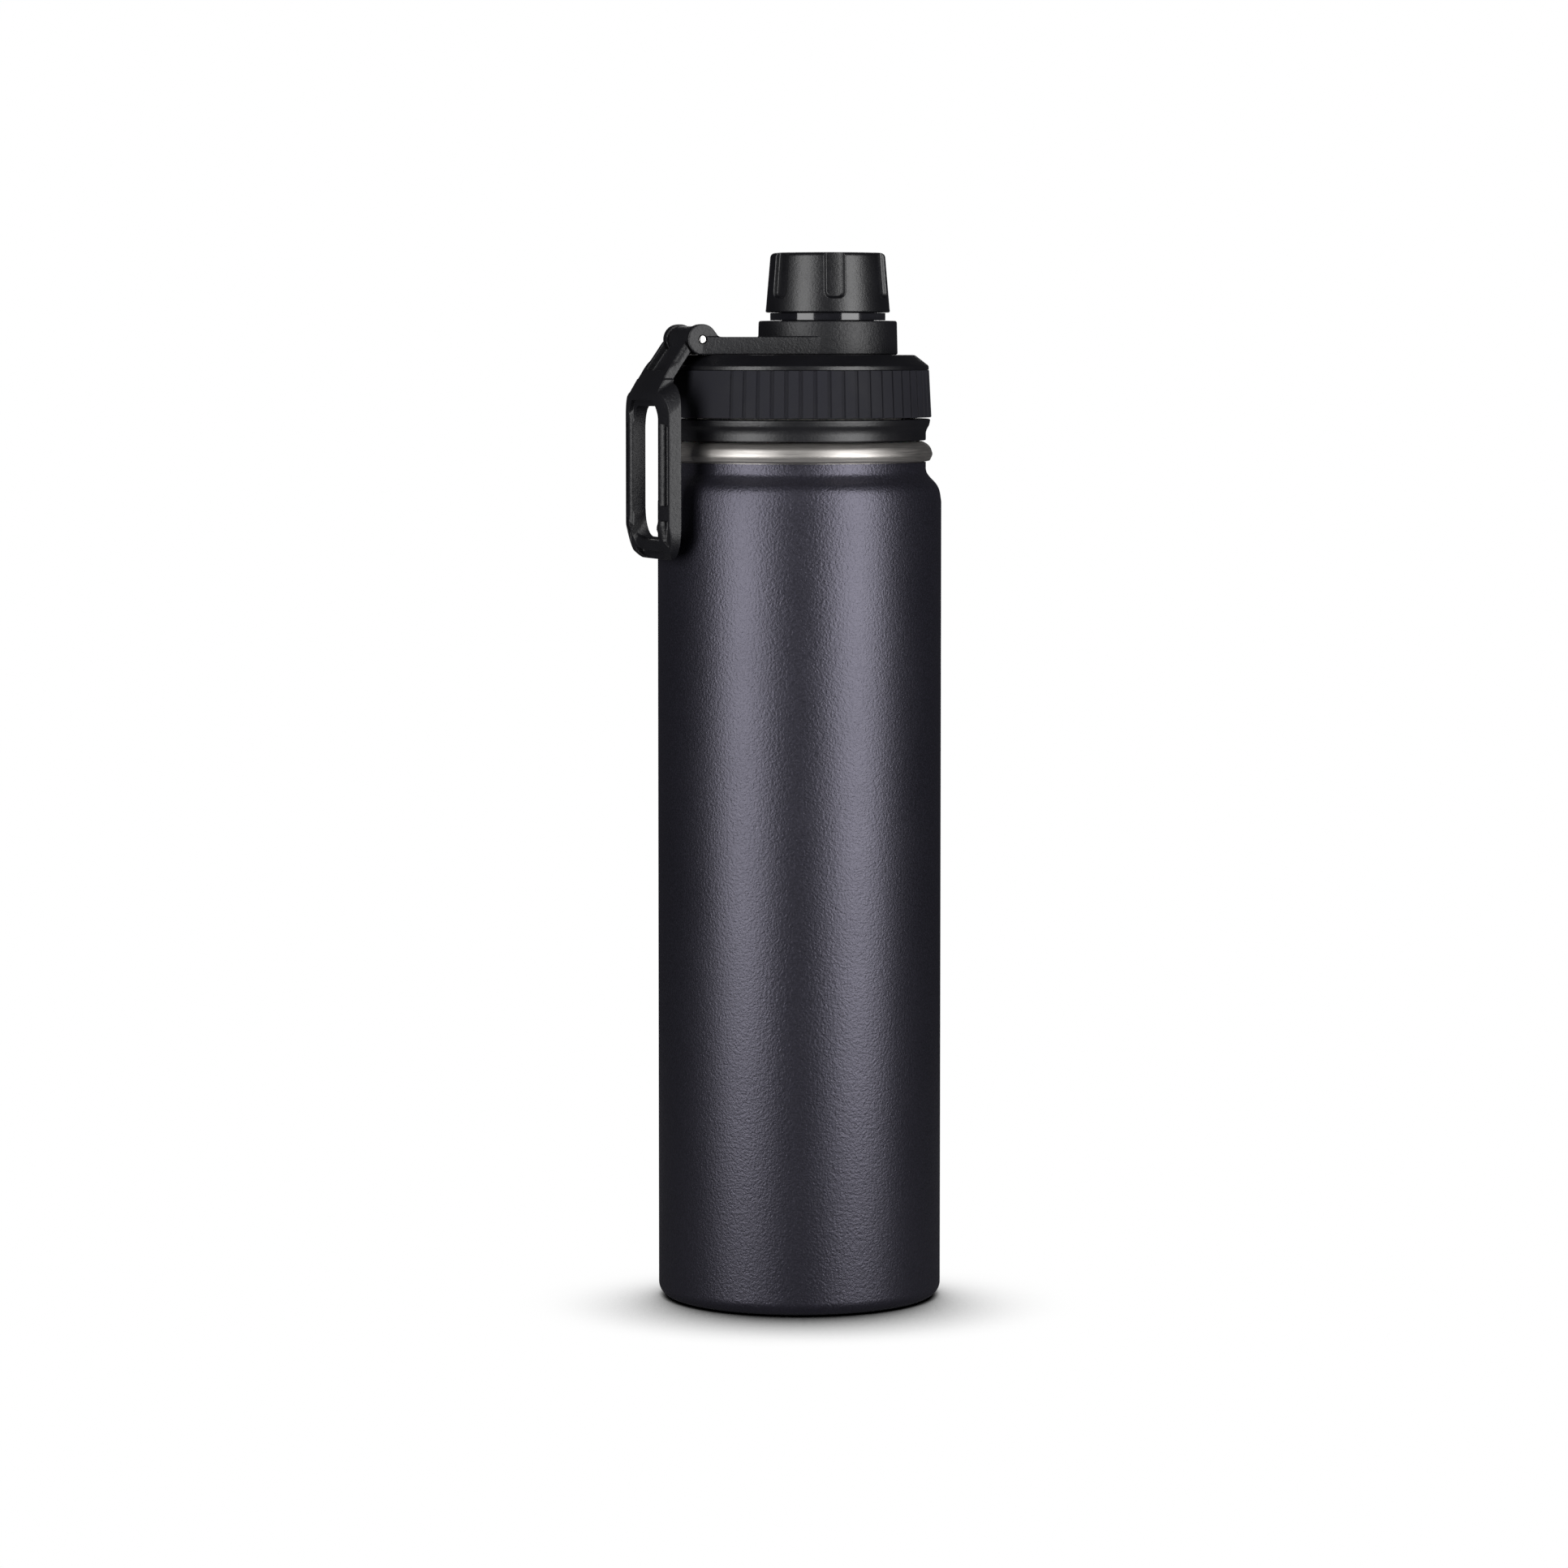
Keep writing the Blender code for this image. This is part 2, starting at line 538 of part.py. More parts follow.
def make_swivel_arm():
    """Collar round the spout with a flat arm that ends in the two ears of the hinge."""
    edge = 0.3 * MM
    profile = [(COLLAR_BORE, COLLAR_LOW_Z), (COLLAR_RADIUS - edge, COLLAR_LOW_Z)]
    profile += [(COLLAR_RADIUS, COLLAR_LOW_Z + edge), (COLLAR_RADIUS - 0.2 * MM, COLLAR_TOP_Z - edge)]
    profile += [(COLLAR_RADIUS - 0.2 * MM - edge, COLLAR_TOP_Z), (COLLAR_BORE, COLLAR_TOP_Z)]
    arm = add_piece("swivel_arm", turned(profile, LID_STEPS, SPOUT_X), "satin_black", "spout_axis")
    root_x = SPOUT_X - 8.0 * MM
    outline = [(root_x, ARM_ROOT_Y), (HINGE_X, EAR_OUTER_Y), (HINGE_X, -EAR_OUTER_Y), (root_x, -ARM_ROOT_Y)]
    combine(arm, "UNION", "arm_plate", prism(outline, "Z", COLLAR_LOW_Z, ARM_TOP_Z))
    combine(arm, "UNION", "arm_ears", cross_rod(EAR_RADIUS, -EAR_OUTER_Y, EAR_OUTER_Y, INNER_STEPS))
    slot = [(-40.0 * MM, -EAR_INNER_Y), (EAR_SLOT_X, -EAR_INNER_Y), (EAR_SLOT_X, EAR_INNER_Y)]
    slot += [(-40.0 * MM, EAR_INNER_Y)]
    combine(arm, "DIFFERENCE", "arm_slot", prism(slot, "Z", 240.0 * MM, 255.0 * MM))
    combine(arm, "DIFFERENCE", "arm_pin_hole", cross_rod(PIN_HOLE, -20.0 * MM, 20.0 * MM, 16))
    bore = rod(COLLAR_BORE, 240.0 * MM, 256.0 * MM, LID_STEPS, SPOUT_X)
    combine(arm, "DIFFERENCE", "collar_bore", bore)


def make_hinge_pin():
    """Plain steel pin with slightly domed ends."""
    dome = 0.25 * MM
    profile = [(0.0, -PIN_END_Y), (0.6 * PIN_RADIUS, -PIN_END_Y + 0.3 * dome), (PIN_RADIUS, -PIN_END_Y + dome)]
    profile += [(PIN_RADIUS, PIN_END_Y - dome), (0.6 * PIN_RADIUS, PIN_END_Y - 0.3 * dome), (0.0, PIN_END_Y)]
    bm = turned(profile, 16)
    bm.transform(Matrix.Translation((HINGE_X, 0.0, HINGE_Z)) @ Matrix.Rotation(-math.pi / 2.0, 4, "X"))
    add_piece("hinge_pin", bm, "pin_steel", "hinge_axis")


def handle_side_outline():
    """(x, z) outline of the handle's plate, from inside the barrel down to the loop's foot."""
    corners = [(-32.55 * MM, 249.2 * MM, 0.0), (HANDLE_FRONT_X, 233.56 * MM, 6.0 * MM)]
    corners += [(HANDLE_FRONT_X, HANDLE_LOW_Z, 2.4 * MM), (HANDLE_BACK_X, HANDLE_LOW_Z, 1.0 * MM)]
    corners += [(HANDLE_BACK_X, 236.45 * MM, 2.5 * MM), (-30.55 * MM, 247.8 * MM, 0.0)]
    return rounded(corners, 4)


def handle_front_outline():
    """(y, z) outline of the whole handle."""
    corners = [(EAR_OUTER_Y, 252.0 * MM, 0.0), (EAR_OUTER_Y, HANDLE_SHOULDER_Z, 1.5 * MM)]
    corners += [(HANDLE_HALF, HANDLE_SHOULDER_Z, 4.5 * MM), (HANDLE_HALF, HANDLE_SIDE_LOW_Z, HANDLE_CORNER)]
    corners += [(0.0, HANDLE_LOW_Z, 40.0 * MM)]
    return rounded(mirrored(corners), 6)


def handle_window_outline():
    corners = [(WINDOW_HALF, WINDOW_TOP_Z, 3.5 * MM), (WINDOW_HALF, WINDOW_LOW_Z, 7.5 * MM)]
    return rounded(mirrored(corners), 5)


def handle_crown_outline():
    """(x, y) outline with the crowned front of the loop."""
    half = HANDLE_HALF + 1.0 * MM
    sweep = math.degrees(math.asin(half / HANDLE_CROWN))
    centre = (HANDLE_FRONT_X + HANDLE_CROWN, 0.0)
    return arc(centre, HANDLE_CROWN, 180.0 + sweep, 180.0 - sweep, 12) + [(-20.0 * MM, half), (-20.0 * MM, -half)]


def pocket_outlines():
    """(y, z) outlines of the shallow pockets in the outward face: two in each leg, one at the foot."""
    outlines = []
    centre = (HANDLE_HALF - HANDLE_CORNER, HANDLE_SIDE_LOW_Z + HANDLE_CORNER)
    for side in (-1.0, 1.0):
        long_pocket = rounded([(13.9 * MM, 227.5 * MM, 1.2 * MM), (16.9 * MM, 227.5 * MM, 1.2 * MM),
                               (16.9 * MM, 205.0 * MM, 1.2 * MM), (13.9 * MM, 205.0 * MM, 1.2 * MM)], 3)
        corner_pocket = arc(centre, HANDLE_CORNER - 0.7 * MM, -3, -40, 5)
        corner_pocket += arc(centre, HANDLE_CORNER - 3.4 * MM, -40, -3, 4)
        for outline in (long_pocket, corner_pocket):
            outlines.append([(side * a, b) for a, b in outline])
    foot_pocket = [(-7.4 * MM, 192.6 * MM), (-4.0 * MM, 191.7 * MM), (4.0 * MM, 191.7 * MM)]
    foot_pocket += [(7.4 * MM, 192.6 * MM), (4.0 * MM, 193.9 * MM), (-4.0 * MM, 193.9 * MM)]
    outlines.append(foot_pocket)
    return outlines


def make_carry_handle():
    """Plate handle: barrel, sloping neck with two raised struts, and a loop with a finger window."""
    plate = prism(handle_side_outline(), "Y", -20.0 * MM, 20.0 * MM)
    handle = add_piece("carry_handle", plate, "satin_black", "hinge_axis")
    combine(handle, "INTERSECT", "handle_front", prism(handle_front_outline(), "X", -60.0 * MM, -20.0 * MM))
    combine(handle, "INTERSECT", "handle_crown", prism(handle_crown_outline(), "Z", 180.0 * MM, 260.0 * MM))
    combine(handle, "DIFFERENCE", "handle_window", prism(handle_window_outline(), "X", -60.0 * MM, -20.0 * MM))
    for index, outline in enumerate(pocket_outlines()):
        pocket = prism(outline, "X", -60.0 * MM, POCKET_FLOOR_X)
        combine(handle, "DIFFERENCE", f"handle_pocket_{index}", pocket)
    web = prism([(-6.6 * MM, -10.2 * MM), (6.6 * MM, -10.2 * MM), (6.6 * MM, 0.4 * MM), (-6.6 * MM, 0.4 * MM)],
                "Z", 2.3 * MM, 8.0 * MM)
    # the web pocket is drawn flat, then laid on the sloping neck: its y runs along the slope
    slope = math.atan2(249.2 - 233.56, 43.4 - 32.55)
    along = Matrix(((0.0, math.cos(slope), -math.sin(slope), HINGE_X),
                    (1.0, 0.0, 0.0, 0.0),
                    (0.0, math.sin(slope), math.cos(slope), HINGE_Z),
                    (0.0, 0.0, 0.0, 1.0)))
    web.transform(along)
    combine(handle, "DIFFERENCE", "handle_web", web)
    for name, side in (("left", -1.0), ("right", 1.0)):
        low, high = sorted((side * BARREL_HALF, side * 22.0 * MM))
        clearance = cross_rod(EAR_CLEARANCE, low, high, INNER_STEPS)
        combine(handle, "DIFFERENCE", f"ear_clearance_{name}", clearance)
    barrel = cross_rod(BARREL_RADIUS, -BARREL_HALF, BARREL_HALF, INNER_STEPS)
    combine(handle, "UNION", "handle_barrel", barrel)
    combine(handle, "DIFFERENCE", "handle_pin_hole", cross_rod(PIN_HOLE, -22.0 * MM, 22.0 * MM, 16))


def cap_radius(height):
    """Outside radius of the cap's tapered side at a height."""
    share = (height - CAP_LOW_Z) / (CAP_TOP_Z - CAP_LOW_Z)
    return CAP_LOW_RADIUS + (CAP_TOP_RADIUS - CAP_LOW_RADIUS) * share


def cap_groove(angle):
    """Cutter for one groove of the cap: round at its lower end, open at the top, sides sloping out."""
    bm = bmesh.new()
    loops = []
    spread = CAP_GROOVE_MOUTH - CAP_GROOVE_FLOOR
    for half, proud in ((CAP_GROOVE_FLOOR, -CAP_GROOVE_DEPTH), (CAP_GROOVE_MOUTH + spread, CAP_GROOVE_DEPTH)):
        outline = [(-half, CAP_TOP_Z + 2.0 * MM)] + arc((0.0, CAP_GROOVE_ARC_Z), half, 180, 360, 8)
        outline += [(half, CAP_TOP_Z + 2.0 * MM)]
        loops.append([bm.verts.new((cap_radius(b) + proud, a, b)) for a, b in outline])
    bm.faces.new(loops[0])
    bm.faces.new(loops[1])
    count = len(loops[0])
    for index in range(count):
        after = (index + 1) % count
        bm.faces.new((loops[0][index], loops[0][after], loops[1][after], loops[1][index]))
    bm.transform(Matrix.Translation((SPOUT_X, 0.0, 0.0)) @ Matrix.Rotation(angle, 4, "Z"))
    return bm


def make_spout_cap():
    edge = 0.4 * MM
    inner_top = CAP_TOP_Z - 1.5 * MM
    profile = [(CAP_BORE, CAP_LOW_Z), (CAP_LOW_RADIUS - edge, CAP_LOW_Z), (CAP_LOW_RADIUS, CAP_LOW_Z + edge)]
    profile += arc((CAP_TOP_RADIUS - CAP_CORNER, CAP_TOP_Z - CAP_CORNER), CAP_CORNER, 6, 90, 4)
    profile += [(0.0, CAP_TOP_Z), (0.0, inner_top), (CAP_BORE, inner_top)]
    cap = add_piece("spout_cap", turned(profile, LID_STEPS, SPOUT_X), "satin_black", "spout_axis")
    grooves = bmesh.new()
    for index in range(CAP_GROOVES):
        grooves = joined(grooves, cap_groove(math.radians(CAP_GROOVE_PHASE + 360.0 * index / CAP_GROOVES)))
    combine(cap, "DIFFERENCE", "cap_grooves", grooves)


def make_spout_cap_insert():
    """Threaded liner inside the cap, closed above the gasket."""
    low = CAP_LOW_Z + 0.5 * MM
    profile = [(INSERT_BORE, low), (INSERT_RADIUS, low), (INSERT_RADIUS, 267.7 * MM), (0.0, 267.7 * MM)]
    profile += [(0.0, 266.9 * MM), (INSERT_BORE, 266.9 * MM)]
    insert = add_piece("spout_cap_insert", turned(profile, INNER_STEPS, SPOUT_X), "inner_plastic", "spout_axis")
    ridge = thread(INSERT_BORE, INSERT_BORE - 0.8 * MM, 255.4 * MM, CAP_LEAD, 1.3 * MM, 0.6 * MM, SPOUT_X)
    combine(insert, "UNION", "insert_thread", ridge)


def make_spout_cap_gasket():
    bm = rod(INSERT_BORE - GAP, SPOUT_TOP_Z + GAP, 266.6 * MM, INNER_STEPS, SPOUT_X)
    add_piece("spout_cap_gasket", bm, "silicone", "spout_axis")


def main():
    clear_scene()
    make_axes()
    make_outer_shell()
    make_base_cover()
    make_outer_base()
    make_vacuum_seal_plug()
    make_inner_base()
    make_inner_shell()
    make_getter()
    make_getter_clip()
    make_lid_base_ring()
    make_grip_band()
    make_lid_cover()
    make_lid_core()
    make_lid_insulation()
    make_lid_bottom_plate()
    make_lid_gasket()
    make_spout()
    make_spout_seal_ring()
    make_collar_retainer()
    make_swivel_arm()
    make_hinge_pin()
    make_carry_handle()
    make_spout_cap()
    make_spout_cap_insert()
    make_spout_cap_gasket()


main()
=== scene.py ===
"""Looks of the insulated water bottle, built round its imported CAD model. Metres, +Z up."""
import math

import bmesh
import bpy
from mathutils import Matrix, Vector


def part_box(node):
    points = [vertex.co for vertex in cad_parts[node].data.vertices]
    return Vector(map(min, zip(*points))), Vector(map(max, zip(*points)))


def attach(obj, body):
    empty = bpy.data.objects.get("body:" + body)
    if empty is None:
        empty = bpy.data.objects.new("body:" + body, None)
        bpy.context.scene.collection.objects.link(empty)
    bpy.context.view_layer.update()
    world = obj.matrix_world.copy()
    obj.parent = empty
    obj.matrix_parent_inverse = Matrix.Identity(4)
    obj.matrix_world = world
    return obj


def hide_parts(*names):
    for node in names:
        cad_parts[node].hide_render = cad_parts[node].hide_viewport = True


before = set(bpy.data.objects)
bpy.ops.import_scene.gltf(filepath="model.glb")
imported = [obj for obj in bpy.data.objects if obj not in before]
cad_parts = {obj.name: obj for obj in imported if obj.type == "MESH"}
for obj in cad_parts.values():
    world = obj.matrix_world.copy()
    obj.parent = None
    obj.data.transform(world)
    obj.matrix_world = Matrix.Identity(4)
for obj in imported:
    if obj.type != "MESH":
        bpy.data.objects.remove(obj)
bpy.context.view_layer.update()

MM = 0.001
GAP = 0.3 * MM
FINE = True
ROUND_STEPS = 192 if FINE else 72  # steps round a large turned piece
SMALL_STEPS = 120 if FINE else 48  # steps round a small turned piece
VOXEL = 0.19 * MM if FINE else 0.34 * MM
MELT_ROUNDS = 4
MELT_KEPT = 0.35  # share of the faces left after melting


# ---- places, from the CAD nodes

def low_z(node):
    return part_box(node)[0].z


def high_z(node):
    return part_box(node)[1].z


def half_width(node):
    """Largest distance of a node from the plane y = 0, which is the radius of a turned node."""
    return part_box(node)[1].y


BODY_RADIUS = half_width("outer_shell")
LIP_TOP = high_z("inner_shell")
LIP_RADIUS = half_width("inner_shell")
RING_LOW = low_z("lid_base_ring")
RING_TOP = high_z("lid_base_ring")
RING_RADIUS = half_width("lid_base_ring")
BAND_LOW = low_z("grip_band")
CORE_LOW = low_z("lid_core")
SPOUT_X = (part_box("spout_cap")[0].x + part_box("spout_cap")[1].x) / 2.0
SPOUT_TOP = high_z("spout")
CAP_LOW = low_z("spout_cap")
CAP_TOP = high_z("spout_cap")
CAP_LOW_RADIUS = half_width("spout_cap")
COLLAR_LOW = low_z("swivel_arm")
COLLAR_TOP = high_z("swivel_arm")
COLLAR_RADIUS = half_width("swivel_arm")
HINGE = (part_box("hinge_pin")[0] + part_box("hinge_pin")[1]) / 2.0
HINGE_X = HINGE.x
HINGE_Z = HINGE.z
HANDLE_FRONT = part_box("carry_handle")[0].x
HANDLE_LOW = low_z("carry_handle")
HANDLE_HALF = half_width("carry_handle")

# sizes that the boxes don't give: the CAD model's own, or a little finer where only the looks need it
BASE_CORNER = 3.4 * MM
BASE_OPENING = 31.6 * MM
OUTER_WALL = 0.5 * MM
SHOULDER = 205.7 * MM
NECK_RADIUS = 32.5 * MM
NECK_TOP = 215.9 * MM
CAVITY_RADIUS = 32.4 * MM
INNER_WALL = 0.5 * MM
INNER_SEAM = 15.0 * MM
INNER_FLOOR = 8.0 * MM
INNER_FLAT = 15.0 * MM
MOUTH_RADIUS = 30.8 * MM
MOUTH_WALL = 0.8 * MM
MOUTH_LOW = 204.0 * MM
TUBE_TOP = 199.0 * MM
LIP_UNDER = 216.15 * MM
BAND_LOW_RADIUS = 33.9 * MM
BAND_TOP_RADIUS = 33.3 * MM
BAND_BORE = 31.4 * MM
GROOVE_DEPTH = 0.45 * MM
GROOVE_PITCHES = 45
GROOVE_HALF = 0.60  # degrees
GROOVE_WALL = 0.40  # degrees
PANEL_HALF_ANGLE = 39.0  # degrees of smooth panel each side of the handle
GROOVE_PITCH = (360.0 - 2.0 * PANEL_HALF_ANGLE) / GROOVE_PITCHES
COVER_LOW = 239.5 * MM
COVER_RADIUS = 33.2 * MM
COVER_WALL = 2.0 * MM
LID_TOP = 243.4 * MM
SKIRT_RADIUS = 31.1 * MM
LID_BORE = 29.5 * MM
CORE_ROOT = 29.4 * MM
CORE_NECK = 28.2 * MM
CORE_BORE = 26.8 * MM
CORE_TOP = 226.6 * MM
SPOUT_BORE = 9.2 * MM
SPOUT_ROOT = 10.8 * MM
SPOUT_SHOULDER = 11.9 * MM
FLANGE_RADIUS = 15.6 * MM
FLANGE_LOW = 238.3 * MM
FLANGE_TOP = 239.9 * MM
BOSS_BORE = 12.2 * MM
BOSS_RADIUS = 13.4 * MM
BOSS_TOP = 252.1 * MM
COLLAR_BORE = 13.7 * MM
RETAINER_RADIUS = 14.85 * MM
CAP_TOP_RADIUS = 14.7 * MM
CAP_BORE = 12.9 * MM
CAP_CORNER = 1.3 * MM
CAP_GROOVES = 6
CAP_GROOVE_PHASE = 16.4  # degrees from +X to the first groove
CAP_GROOVE_DEPTH = 1.0 * MM
CAP_GROOVE_HALF = 2.8 * MM
CAP_GROOVE_CORNER = 1.9 * MM
CAP_GROOVE_WALL = 0.75 * MM
CAP_GROOVE_LOW = 257.75 * MM
INSERT_RADIUS = 12.6 * MM
INSERT_BORE = 12.0 * MM
LID_THREAD = {"lead": 8.0 * MM, "depth": 1.0 * MM, "foot": 1.7 * MM, "crest": 0.9 * MM}
CAP_THREAD = {"lead": 6.0 * MM, "depth": 0.8 * MM, "foot": 1.3 * MM, "crest": 0.6 * MM}
THREAD_STARTS = 2
THREAD_TURNS = 1.25
THREAD_SINK = 0.35 * MM
RUN_OUT_TURNS = 0.12
ARM_TOP = 247.95 * MM
ARM_ROOT_Y = 16.1 * MM
EAR_OUTER_Y = 10.0 * MM
EAR_INNER_Y = 7.2 * MM
EAR_RADIUS = 3.9 * MM
EAR_SLOT_X = -24.6 * MM
PIN_HOLE = 1.22 * MM
PIN_RADIUS = 1.0 * MM
BARREL_RADIUS = 3.4 * MM
BARREL_HALF = 6.9 * MM
HINGE_BORE_STEPS = 48
EAR_CLEARANCE = 4.4 * MM
SLOPE_TOP = (-32.55 * MM, 249.2 * MM)  # where the handle's sloping neck leaves the barrel
SLOPE_LOW_Z = 233.56 * MM
STRUT_HEIGHT = 3.34 * MM  # from the hinge, square to the slope
RECESS_HEIGHT = 1.55 * MM
RECESS_HALF = 7.1 * MM
RECESS_LENGTH = 11.8 * MM
HANDLE_BACK = -38.15 * MM
HANDLE_CROWN = 74.0 * MM
HANDLE_CORNER = 8.0 * MM
CORNER_Z = 199.2 * MM
RIDGE_X = -41.1 * MM
RIDGE_Z = 193.3 * MM
FOOT_BEND = 199.9 * MM
WINDOW_HALF = 10.7 * MM
WINDOW_LOW = 197.2 * MM
WINDOW_TOP = 230.4 * MM
BEAD = 1.5 * MM
BEAD_SIDES = 24
POCKET_INNER = WINDOW_HALF + BEAD
POCKET_OUTER = 16.7 * MM
POCKET_DEPTH = 2.1 * MM
FOOT_POCKET_FLOOR = -38.8 * MM
STRUT_ROUND = 1.7 * MM
FAR = 60.0 * MM  # reach of a cut that goes right through


# ---- mesh tools

def arc(centre, radius, start, stop, steps, radius_b=None):
    """Points of an arc, or of an ellipse's arc, with both ends; angles in degrees."""
    points = []
    for step in range(steps + 1):
        angle = math.radians(start + (stop - start) * step / steps)
        points.append((centre[0] + radius * math.cos(angle),
                       centre[1] + (radius_b or radius) * math.sin(angle)))
    return points


def rounded(corners, steps=5):
    """Closed outline through (a, b, radius) corners, each with radius turned into an arc."""
    points = []
    count = len(corners)
    for index, (a, b, radius) in enumerate(corners):
        here = Vector((a, b))
        if radius == 0.0:
            points.append((a, b))
            continue
        back = (Vector(corners[index - 1][:2]) - here).normalized()
        ahead = (Vector(corners[(index + 1) % count][:2]) - here).normalized()
        half = back.angle(ahead) / 2.0
        centre = here + (back + ahead).normalized() * (radius / math.sin(half))
        start = here + back * (radius / math.tan(half)) - centre
        turn = start.angle_signed(here + ahead * (radius / math.tan(half)) - centre)
        for step in range(steps + 1):
            spoke = start.copy()
            spoke.rotate(Matrix.Rotation(-turn * step / steps, 2))
            points.append((centre.x + spoke.x, centre.y + spoke.y))
    return points


def curved(points, steps):
    """Catmull-Rom curve through points, with both ends."""
    ends = [points[0]] + list(points) + [points[-1]]
    result = []
    for index in range(len(points) - 1):
        p0, p1, p2, p3 = (Vector(p) for p in ends[index:index + 4])
        for step in range(steps):
            t = step / steps
            spot = 0.5 * (2 * p1 + (p2 - p0) * t + (2 * p0 - 5 * p1 + 4 * p2 - p3) * t * t
                          + (3 * p1 - p0 - 3 * p2 + p3) * t * t * t)
            result.append((spot.x, spot.y))
    return result + [tuple(points[-1])]


def both_sides(half):
    """Symmetric outline from its (a, b) points at positive a."""
    return half + [(-a, b) for a, b in reversed(half)]


def mirrored(half_corners):
    """Both sides of a symmetric outline, from the corners of its side at positive a, top to bottom."""
    other = [(-a, b, radius) for a, b, radius in reversed(half_corners) if a > 0.0]
    return half_corners + other


def turned(profile, steps, axis_x=0.0):
    """Solid swept by a closed (radius, height) outline round the vertical axis through axis_x."""
    angles = [2.0 * math.pi * index / steps for index in range(steps)]
    return carved(profile, angles, lambda index, radius, height: radius, axis_x)


def carved(profile, angles, kept, axis_x=0.0):
    """Turned solid with points at each angle; kept(index, radius, height) is the radius left at one."""
    bm = bmesh.new()
    rings = []
    for radius, height in profile:
        ring = []
        for index, angle in enumerate(angles if radius > 0.0 else angles[:1]):
            reach = kept(index, radius, height)
            ring.append(bm.verts.new((axis_x + reach * math.cos(angle), reach * math.sin(angle), height)))
        rings.append(ring)
    close_rings(bm, rings, len(angles))
    return bm


def close_rings(bm, rings, steps):
    """Faces between each ring and the next, the last with the first; a ring may be one point."""
    for ring, following in zip(rings, rings[1:] + rings[:1]):
        for index in range(steps):
            corners = [ring[index % len(ring)], ring[(index + 1) % len(ring)]]
            corners += [following[(index + 1) % len(following)], following[index % len(following)]]
            corners = list(dict.fromkeys(corners))
            if len(corners) > 2:
                bm.faces.new(corners)


def rod(radius, low, high, steps, axis_x=0.0):
    return turned([(0.0, low), (radius, low), (radius, high), (0.0, high)], steps, axis_x)


def cross_rod(radius, low, high, steps):
    """Round rod along Y, centred on the hinge."""
    bm = rod(radius, low, high, steps)
    bm.transform(hinge_place())
    return bm


def hinge_place():
    return Matrix.Translation((HINGE_X, 0.0, HINGE_Z)) @ Matrix.Rotation(-math.pi / 2.0, 4, "X")


def prism(outline, direction, low, high):
    """Solid of an outline pushed along an axis: (x, y) along Z, (x, z) along Y or (y, z) along X."""
    place = {
        "X": lambda a, b, depth: (depth, a, b),
        "Y": lambda a, b, depth: (a, depth, b),
        "Z": lambda a, b, depth: (a, b, depth),
    }[direction]
    bm = bmesh.new()
    near = [bm.verts.new(place(a, b, low)) for a, b in outline]
    far = [bm.verts.new(place(a, b, high)) for a, b in outline]
    bm.faces.new(near)
    bm.faces.new(far)
    count = len(outline)
    for index in range(count):
        following = (index + 1) % count
        bm.faces.new((near[index], near[following], far[following], far[index]))
    return bm


def thread(wall_radius, out, middle_z, form, axis_x=0.0):
    """Two-start helical ridge that fades out at its ends, outward (out 1) or inward (out -1) of a wall."""
    bm = bmesh.new()
    crest_radius = wall_radius + out * form["depth"]
    foot, crest = form["foot"], form["crest"]
    sink = -out * THREAD_SINK
    per_turn = 96 if FINE else 40
    steps = round(THREAD_TURNS * per_turn)
    for start in range(THREAD_STARTS):
        sections = []
        for step in range(steps + 1):
            turn = step / per_turn
            angle = 2.0 * math.pi * (turn + start / THREAD_STARTS)
            middle = middle_z + form["lead"] * turn
            rise = min(1.0, turn / RUN_OUT_TURNS, (THREAD_TURNS - turn) / RUN_OUT_TURNS)
            top = wall_radius + (crest_radius - wall_radius) * rise + sink * 0.6 * (1.0 - rise)
            root = wall_radius + sink
            section = []
            for radius, offset in ((root, -foot), (top, -crest), (top, crest), (root, foot)):
                height = middle + offset / 2.0
                spot = (axis_x + radius * math.cos(angle), radius * math.sin(angle), height)
                section.append(bm.verts.new(spot))
            sections.append(section)
        for section, following in zip(sections, sections[1:]):
            for side in range(4):
                after = (side + 1) % 4
                bm.faces.new((section[side], section[after], following[after], following[side]))
        bm.faces.new(sections[0])
        bm.faces.new(sections[-1])
    return bm


def slanted(bm, slope, at_x):
    """Raise every point by slope times its x, then move the solid by at_x."""
    place = Matrix.Translation((at_x, 0.0, 0.0))
    place[2][0] = slope
    bm.transform(place)
    return bm


def new_object(name, bm):
    bmesh.ops.recalc_face_normals(bm, faces=bm.faces)
    mesh = bpy.data.meshes.new(name)
    bm.to_mesh(mesh)
    bm.free()
    item = bpy.data.objects.new(name, mesh)
    bpy.context.scene.collection.objects.link(item)
    return item


def baked(item):
    """Put the object's modified shape into its mesh and drop the modifiers."""
    graph = bpy.context.evaluated_depsgraph_get()
    mesh = bpy.data.meshes.new_from_object(item.evaluated_get(graph), depsgraph=graph)
    old = item.data
    item.modifiers.clear()
    item.data = mesh
    bpy.data.meshes.remove(old)


def join(item, bm):
    combined(item, "UNION", bm)


def cut(item, bm):
    combined(item, "DIFFERENCE", bm)


def combined(item, operation, bm):
    """Join bm to the object, cut it away or keep what both share."""
    tool = new_object("tool", bm)
    modifier = item.modifiers.new("combine", "BOOLEAN")
    modifier.operation = operation
    modifier.object = tool
    modifier.solver = "MANIFOLD"
    baked(item)
    bpy.data.objects.remove(tool)


def melted(item):
    """Round every edge a little, as on a moulding: fine even mesh, smoothed, then lightened."""
    remesh = item.modifiers.new("remesh", "REMESH")
    remesh.mode = "VOXEL"
    remesh.voxel_size = VOXEL
    soften = item.modifiers.new("soften", "SMOOTH")
    soften.factor = 0.5
    soften.iterations = MELT_ROUNDS
    if FINE:
        lighten = item.modifiers.new("lighten", "DECIMATE")
        lighten.ratio = MELT_KEPT
    baked(item)


